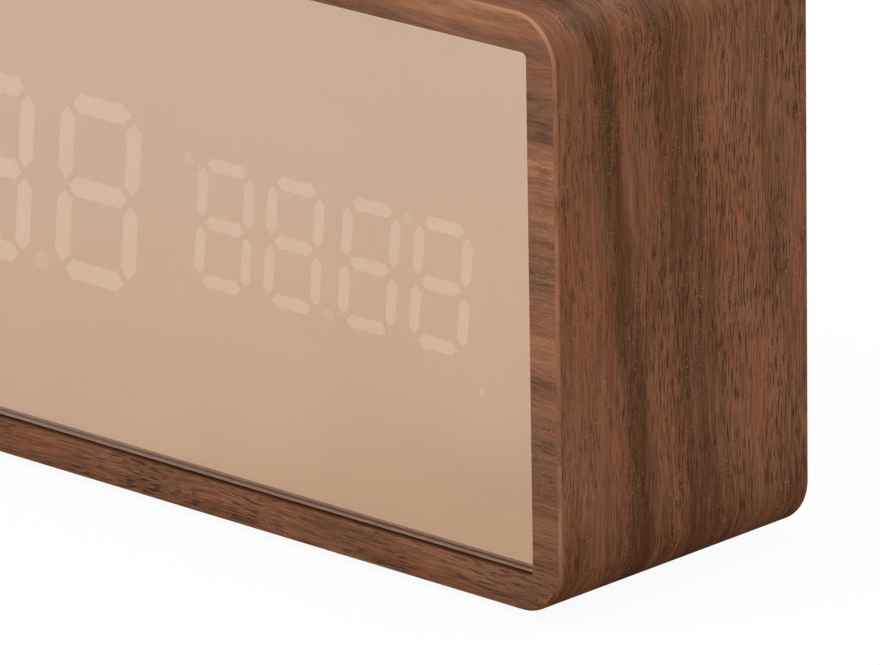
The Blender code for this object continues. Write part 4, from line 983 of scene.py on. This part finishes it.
def moulded(name, dark, light, roughness, gloss=0.4, grain=5200.0, depth=0.00002):
    """Make a moulded plastic or rubber finish."""
    return surfaced(name, skin, {"Grain": grain}, dark, light, roughness, depth,
                    Specular_IOR_Level=gloss)


def metal(name, dark, light, roughness, stretch):
    """Make a brushed or plated metal finish."""
    return surfaced(name, brushing, {"Stretch": stretch}, dark, light, roughness, BRUSH_DEPTH,
                    Metallic=1.0)


print("finish helpers ready")

# %% [markdown]
# The record names a finish for each solid. Two tables give their looks, each is made once, and
# a loop gives them to the solids. The inner frame is blacker than the other mouldings.

# %% Give the solids their finishes
MOULDINGS = {  # dark and light tone, roughness; some have their own gloss, grain and depth
    "black_foam": ((14, 14, 15), (20, 20, 21), (0.85, 0.95), 0.0, 2200.0, 0.00006),
    "black_plastic": ((34, 33, 33), (44, 43, 42), (0.42, 0.55)),
    "grey_plastic": ((28, 26, 25), (32, 30, 29), (0.8, 0.9), 0.0),
    "frame_black": ((26, 25, 24), (32, 30, 29), (0.8, 0.9), 0.0),
    "milky_plastic": ((226, 236, 228), (236, 246, 238), (0.5, 0.6), 0.1),
    "dim_white": ((160, 166, 160), (170, 176, 170), (0.5, 0.6), 0.1),
    "pale_print": ((186, 184, 178), (206, 204, 198), (0.5, 0.6), 0.4, 2600.0),
    "board_green": ((22, 84, 48), (38, 110, 66), (0.25, 0.4), 0.4, 1500.0),
    "chip_black": ((28, 28, 30), (40, 40, 43), (0.35, 0.5), 0.4, 4200.0),
    "socket_cream": ((214, 204, 182), (228, 220, 200), (0.4, 0.5)),
    "ribbon_grey": ((150, 150, 152), (176, 176, 178), (0.5, 0.6)),
    "cell_wrap": ((52, 54, 60), (66, 68, 76), (0.25, 0.35), 0.4, 1200.0),
    "rubber": ((36, 36, 37), (52, 52, 53), (0.75, 0.9), 0.4, 3800.0, 0.00004),
    "lead_red": ((170, 30, 26), (188, 40, 34), (0.4, 0.5)),
    "lead_black": ((28, 28, 30), (38, 38, 40), (0.4, 0.5)),
}
METALS = {  # dark and light tone, roughness and the brushing's stretch
    "steel": ((176, 176, 174), (206, 206, 204), (0.22, 0.36), (900.0, 900.0, 4200.0)),
    "spring_nickel": ((188, 184, 176), (214, 211, 204), (0.18, 0.3), (3800.0, 800.0, 800.0)),
    "copper_band": ((176, 108, 66), (196, 126, 80), (0.28, 0.4), (300.0, 1500.0, 1500.0)),
}
FINISHES = {name: moulded(name, *looks) for name, looks in MOULDINGS.items()}
FINISHES.update({name: metal(name, *looks) for name, looks in METALS.items()})
dressed = 0
for part in frame["record"]["subparts"]:
    if part["material_slot"] in FINISHES:
        NODES[part["node"]].material_slots[0].material = FINISHES[part["material_slot"]]
        dressed += 1
NODES["inner_frame"].material_slots[0].material = FINISHES["frame_black"]
print("solids with a new finish:", dressed)

# %% [markdown]
# ## The display as the glass shows it
# Seen through the slanted plate, the digits seem nearer than they are by the share of the
# plate that refraction hides. The digit blocks and their milky light guides keep their shapes:
# each is a copy of its solid, with its doubled points merged, moved forward by that share. The
# round points look dimmer than the digits, so they get a dimmer white of their own.

# %% Helpers that copy a solid and dim its points
POINT_SIZE = 0.0032


def copied_solid(node, name, shift):
    """Copy a solid's mesh as a piece of its own, merged and moved."""
    bpy.ops.object.select_all(action="DESELECT")
    piece = bpy.data.objects.new(name, NODES[node].data.copy())
    bpy.context.collection.objects.link(piece)
    pick(piece, "FACE", lambda face: True)
    bpy.ops.mesh.remove_doubles(threshold=MERGE_DISTANCE)
    bpy.ops.transform.translate(value=shift)
    leave_edit()
    return piece


def islands(piece, depth):
    """Group a piece's faces at a depth into islands that share points."""
    groups = []
    for face in piece.data.polygons:
        if face.normal.y > -0.99 or abs(face.center.y - depth) > MERGE_DISTANCE:
            continue
        corners, members = set(face.vertices), [face]
        for group in [group for group in groups if group[0] & corners]:
            corners |= group[0]
            members += group[1]
            groups.remove(group)
        groups.append((corners, members))
    return groups


def dim_points(piece):
    """Give the round points, the islands that are small both ways, a dimmer white."""
    piece.data.materials.append(FINISHES["dim_white"])
    front = min(vert.co.y for vert in piece.data.vertices)
    count = 0
    for corners, members in islands(piece, front):
        places = [piece.data.vertices[index].co for index in corners]
        width = max(place.x for place in places) - min(place.x for place in places)
        height = max(place.z for place in places) - min(place.z for place in places)
        if max(width, height) < POINT_SIZE:
            count += 1
            for face in members:
                face.material_index = 1
    print(piece.name, "round points:", count)


print("points narrower than", POINT_SIZE, "m are dimmed")

# %% Bring the display forward
APPARENT_RISE = lens_high.y - lens_low.y - GLASS_DEPTH
for row in ("large", "small"):
    for kind, slot in (("digit_block", "grey_plastic"), ("light_guide", "milky_plastic")):
        piece = copied_solid(f"{row}_{kind}", f"seen_{row}_{kind}", (0.0, -APPARENT_RISE, 0.0))
        if kind == "light_guide":
            dim_points(piece)
        finished(piece, "case", slot, f"{row}_{kind}")

# %% [markdown]
# ## The four keys
# Each key is a round moulding with a flange that keeps it behind the cover, a stem that reaches
# its switch and a dished crown that a fingertip finds by touch. A cylinder becomes the flange,
# and its end faces are inset and extruded to make the rest. One is modelled, then copied.

# %% Helpers for turned pieces and their copies
QUARTER_BACK = (-math.pi / 2, 0.0, 0.0)


def add_turned(name, radius, front, back, middle, sides=64):
    """Add a round blank that lies along the clock's depth, at a middle's x and z."""
    centre = (middle.x, (front + back) / 2, middle.z)
    return add_round(name, radius, back - front, centre, QUARTER_BACK, sides)


def copied_to_all(source, names):
    """Copy the first node's piece to the others' places; return them by node."""
    start = middle_of(next(iter(names)))
    pieces = {}
    for node, name in names.items():
        pieces[node] = placed_copy(source, name, middle_of(node) - start) if pieces else source
    return pieces


# %% Model one key and copy it
KEYS = ("set_key", "up_key", "down_key", "alarm_key")
COVER_THICKNESS = 0.0020
FIT_GAP = 0.0003
KEY_RADIUS = 0.0033
KEY_FLANGE_RADIUS = 0.0042
KEY_FLANGE = 0.0009
KEY_STEM_RADIUS = 0.0014
KEY_ROUNDING = 0.0004
DISH_LIP = 0.0006
DISH_RING = 0.0006
DISH_DROPS = (0.00014, 0.00008, 0.00004)

key_low, key_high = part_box("set_key")
crown = key_high.y
flange_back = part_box("rear_cover")[1].y - COVER_THICKNESS - FIT_GAP
flange_front = flange_back - KEY_FLANGE
key = add_turned("set_key_cap", KEY_FLANGE_RADIUS, flange_front, flange_back, middle_of("set_key"))
pick(key, "FACE", faces_at(flange_back, 1))
inset(KEY_FLANGE_RADIUS - KEY_RADIUS)
extrude(crown - flange_back)
leave_edit()
round_edges(key, edges_at(crown), KEY_ROUNDING, 5)
pick(key, "FACE", faces_at(crown, 1))
inset(DISH_LIP)
for drop in DISH_DROPS:
    inset(DISH_RING)
    bpy.ops.transform.translate(value=(0.0, -drop, 0.0))
leave_edit()
pick(key, "FACE", faces_at(flange_front, -1))
inset(KEY_FLANGE_RADIUS - KEY_STEM_RADIUS)
extrude(key_low.y - flange_front)
leave_edit()
key.data.materials.append(FINISHES["black_plastic"])
caps = copied_to_all(key, {name: f"{name}_cap" for name in KEYS})
dish_floor = crown - sum(DISH_DROPS)
print("keys:", len(caps), "dish floor at", round(dish_floor, 5))

# %% [markdown]
# The crowns' marks are raised and their tops are printed pale: a dot for the time, arrows for
# down and up, and a ring for the alarm. A dot is a round blank, and an arrow is a blank with
# three sides. Its first corner points down, so the up arrow is turned half round. The blanks'
# sides and turns are in the keys' order.

# %% Raise and print the keys' marks
MARK_HEIGHT = 0.00022
MARK_SIZE = 0.0010
RING_HOLE = 0.6 * MARK_SIZE
MARK_BLANKS = ((32, 0.0), (3, math.pi), (3, 0.0), (32, 0.0))


def add_mark(name, sides, turn):
    """Join a raised mark to a key's dish."""
    middle = middle_of(name)
    front, back = dish_floor - MARK_HEIGHT, dish_floor + MARK_HEIGHT
    mark = add_turned(f"{name}_mark", MARK_SIZE, front, back, middle, sides)
    if name == "alarm_key":
        hole = add_turned("mark_hole", RING_HOLE, front - FIT_GAP, back + FIT_GAP, middle, sides)
        combine(mark, hole, "DIFFERENCE")
    pick(mark, "FACE", lambda face: True)
    bpy.ops.transform.rotate(value=turn, orient_axis="Y",
                             center_override=(middle.x, dish_floor, middle.z))
    leave_edit()
    combine(caps[name], mark, "UNION")


for name, (sides, turn) in zip(KEYS, MARK_BLANKS):
    cap = caps[name]
    add_mark(name, sides, turn)
    cap.data.materials.append(FINISHES["pale_print"])
    for face in cap.data.polygons:
        if abs(face.center.y - dish_floor - MARK_HEIGHT) < MERGE_DISTANCE and face.normal.y > 0.99:
            face.material_index = 1
    smooth(cap)
    finished(cap, name, "black_plastic", name)

# %% [markdown]
# ## The cover's screws
# Four pan-head screws hold the cover. A round blank is the head, with a rounded rim. Its inner
# face is inset and extruded to the shank and a tapered tip, and a cross is cut in the head. One
# screw is modelled, then copied.

# %% Model one screw and copy it
HEAD_RADIUS = 0.0024
HEAD_HEIGHT = 0.0013
HEAD_ROUNDING = 0.0006
SHANK_RADIUS = 0.0010
TIP_SHARE = 0.15
CROSS_LENGTH = 0.0027
CROSS_WIDTH = 0.0006
CROSS_DEPTH = 0.0008

screw_low, screw_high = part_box("cover_screw_1")
middle = middle_of("cover_screw_1")
seat = screw_high.y - HEAD_HEIGHT
screw = add_turned("cover_screw_head_1", HEAD_RADIUS, seat, screw_high.y, middle, 48)
round_edges(screw, edges_at(screw_high.y), HEAD_ROUNDING, 6)
pick(screw, "FACE", faces_at(seat, -1))
inset(HEAD_RADIUS - SHANK_RADIUS)
extrude(screw_low.y + SHANK_RADIUS - seat)
extrude(-SHANK_RADIUS)
bpy.ops.transform.resize(value=(TIP_SHARE, 1.0, TIP_SHARE),
                         center_override=(middle.x, screw_low.y, middle.z))
leave_edit()
for width, height in ((CROSS_LENGTH, CROSS_WIDTH), (CROSS_WIDTH, CROSS_LENGTH)):
    low = (middle.x - width / 2, screw_high.y - CROSS_DEPTH, middle.z - height / 2)
    high = (middle.x + width / 2, screw_high.y + HEAD_HEIGHT, middle.z + height / 2)
    combine(screw, add_block("cross_cutter", low, high), "DIFFERENCE")
screw.data.materials.append(FINISHES["steel"])
names = {f"cover_screw_{number}": f"cover_screw_head_{number}" for number in (1, 2, 3, 4)}
for name, piece in copied_to_all(screw, names).items():
    smooth(piece)
    finished(piece, "case", "steel", name)

# %% [markdown]
# ## The feet
# The feet are round rubber pads stuck under the sleeve. Their lower edge is rounded and a
# shallow ring is pressed into the sole, as on moulded bumpers.

# %% Model one foot and copy it
FOOT_ROUNDING = 0.0003
SOLE_RIM = 0.0012
SOLE_DEPTH = 0.0003
SOLE_SHARE = 0.94
foot_low, foot_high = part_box("foot_1")
middle = middle_of("foot_1")
foot = add_round("foot_pad_1", (foot_high.x - foot_low.x) / 2, foot_high.z - foot_low.z, middle)
round_edges(foot, edges_at(foot_low.z, Z_AXIS), FOOT_ROUNDING, 4)
pick(foot, "FACE", faces_at(foot_low.z, -1, Z_AXIS))
inset(SOLE_RIM)
extrude(SOLE_DEPTH, Z_AXIS)
bpy.ops.transform.resize(value=(SOLE_SHARE, SOLE_SHARE, 1.0), center_override=middle)
leave_edit()
foot.data.materials.append(FINISHES["rubber"])
names = {f"foot_{number}": f"foot_pad_{number}" for number in (1, 2, 3, 4)}
for name, piece in copied_to_all(foot, names).items():
    smooth(piece)
    finished(piece, "case", "rubber", name)

# %% [markdown]
# ## The alarm knob
# The slide's knob is a small moulded block. Its outer edges are rounded, and three fine grooves
# give a fingernail its grip.

# %% Model the knob
KNOB_EDGE = 0.0002
GROOVE_WIDTH = 0.00022
GROOVE_DEPTH = 0.00018
GROOVE_PITCH = 0.0005
knob_low, knob_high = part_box("alarm_switch_knob")
knob = add_block("alarm_knob_cap", knob_low, knob_high)
round_edges(knob, lambda edge: max(vert.co.y for vert in edge.verts) > knob_high.y - KNOB_EDGE,
            KNOB_EDGE, 3)
for number in (-1, 0, 1):
    place = (knob_low.x + knob_high.x) / 2 + number * GROOVE_PITCH
    low = (place - GROOVE_WIDTH / 2, knob_high.y - GROOVE_DEPTH, knob_low.z - KNOB_EDGE)
    high = (place + GROOVE_WIDTH / 2, knob_high.y + KNOB_EDGE, knob_high.z + KNOB_EDGE)
    combine(knob, add_block("groove_cutter", low, high), "DIFFERENCE")
knob.data.materials.append(FINISHES["black_plastic"])
smooth(knob)
finished(knob, "alarm_switch", "black_plastic", "alarm_switch_knob")

# %% [markdown]
# ## The supply socket
# The socket is a folded steel shell with round corners. Its outer face is inset and pushed in
# to make the mouth, and a plastic tongue stands inside.

# %% Model the supply socket
SHELL_WALL = 0.0003
SHELL_ROUNDING = 0.0011
MOUTH_DEPTH = 0.0048
TONGUE_SIZE = Vector((0.0050, 0.0, 0.0006))
TONGUE_SETBACK = 0.0008
TONGUE_ROUNDING = TONGUE_SIZE.z / 4
shell_low, shell_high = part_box("supply_socket")
shell = add_block("supply_socket_shell", shell_low, shell_high)
round_edges(shell, runs_along(Y_AXIS), SHELL_ROUNDING, 8)
pick(shell, "FACE", faces_at(shell_high.y, 1))
inset(SHELL_WALL)
extrude(-MOUTH_DEPTH)
leave_edit()
shell.data.materials.append(FINISHES["steel"])
smooth(shell)
finished(shell, "case", "steel", "supply_socket")

low, high = middle_of("supply_socket") - TONGUE_SIZE / 2, middle_of("supply_socket") + TONGUE_SIZE / 2
low.y, high.y = shell_high.y - MOUTH_DEPTH, shell_high.y - TONGUE_SETBACK
tongue = add_block("supply_socket_tongue", low, high)
round_edges(tongue, edges_at(high.y), TONGUE_ROUNDING, 3)
tongue.data.materials.append(FINISHES["chip_black"])
smooth(tongue)
finished(tongue, "case", "chip_black")

# %% [markdown]
# ## The three cells
# Each cell is a steel can in a printed wrap: dark over most of its length, with a copper band
# at the positive end. The wrap is rolled over both rims, and the can shows inside them. A round
# bar is the dark length, and insets and extrusions make the band, the rims and the nub.

# %% Model one cell
CELL_BAND = 0.0120
CELL_ROUNDING = 0.0005
ROLLED_RIM = 0.0007
RIM_STEP = 0.00015
NUB_RADIUS = 0.0019
NUB_HEIGHT = 0.0012
NUB_ROUNDING = 0.0003
QUARTER_SIDEWAYS = (0.0, math.pi / 2, 0.0)

cell_low, cell_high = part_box("battery_1")
cell_middle = middle_of("battery_1")
cell_radius = (cell_high.z - cell_low.z) / 2
shoulder = cell_high.x - NUB_HEIGHT
band_start = shoulder - CELL_BAND
place = ((band_start + cell_low.x) / 2, cell_middle.y, cell_middle.z)
cell = add_round("cell_1", cell_radius, band_start - cell_low.x, place, QUARTER_SIDEWAYS)
pick(cell, "FACE", faces_at(band_start, 1, X_AXIS))
extrude(CELL_BAND, X_AXIS)
leave_edit()
for rim in (shoulder, cell_low.x):
    round_edges(cell, edges_at(rim, X_AXIS), CELL_ROUNDING, 4)
pick(cell, "FACE", faces_at(shoulder, 1, X_AXIS))
inset(ROLLED_RIM)
extrude(-RIM_STEP, X_AXIS)
inset(cell_radius - CELL_ROUNDING - ROLLED_RIM - NUB_RADIUS)
extrude(RIM_STEP + NUB_HEIGHT, X_AXIS)
leave_edit()
round_edges(cell, edges_at(cell_high.x, X_AXIS), NUB_ROUNDING, 3)
pick(cell, "FACE", faces_at(cell_low.x, -1, X_AXIS))
inset(ROLLED_RIM)
extrude(RIM_STEP, X_AXIS)
leave_edit()
print("cell faces:", len(cell.data.polygons))

# %% [markdown]
# The cell's faces get their finish by where they lie: metal inside the rolled rims, copper on
# the band and the dark wrap elsewhere. The middle cell lies the other way round, so its copy is
# turned about the upright before it is put in place.

# %% Finish the cell and copy it
DARK_WRAP, COPPER, CAN = range(3)
TURNED_CELLS = ("battery_2",)
for name in ("cell_wrap", "copper_band", "spring_nickel"):
    cell.data.materials.append(FINISHES[name])
for face in cell.data.polygons:
    reach = math.hypot(face.center.y - cell_middle.y, face.center.z - cell_middle.z)
    is_end = reach < cell_radius - CELL_ROUNDING - ROLLED_RIM + MERGE_DISTANCE
    face.material_index = CAN if is_end else COPPER if face.center.x > band_start else DARK_WRAP
cells = {"battery_1": cell}
for name in ("battery_2", "battery_3"):
    cells[name] = placed_copy(cell, name.replace("battery", "cell"), -cell_middle)
    if name in TURNED_CELLS:
        cells[name].data.transform(Matrix.Rotation(math.pi, 4, "Z"))
    cells[name].data.transform(Matrix.Translation(middle_of(name)))
for name, piece in cells.items():
    smooth(piece)
    finished(piece, "case", "cell_wrap", name)
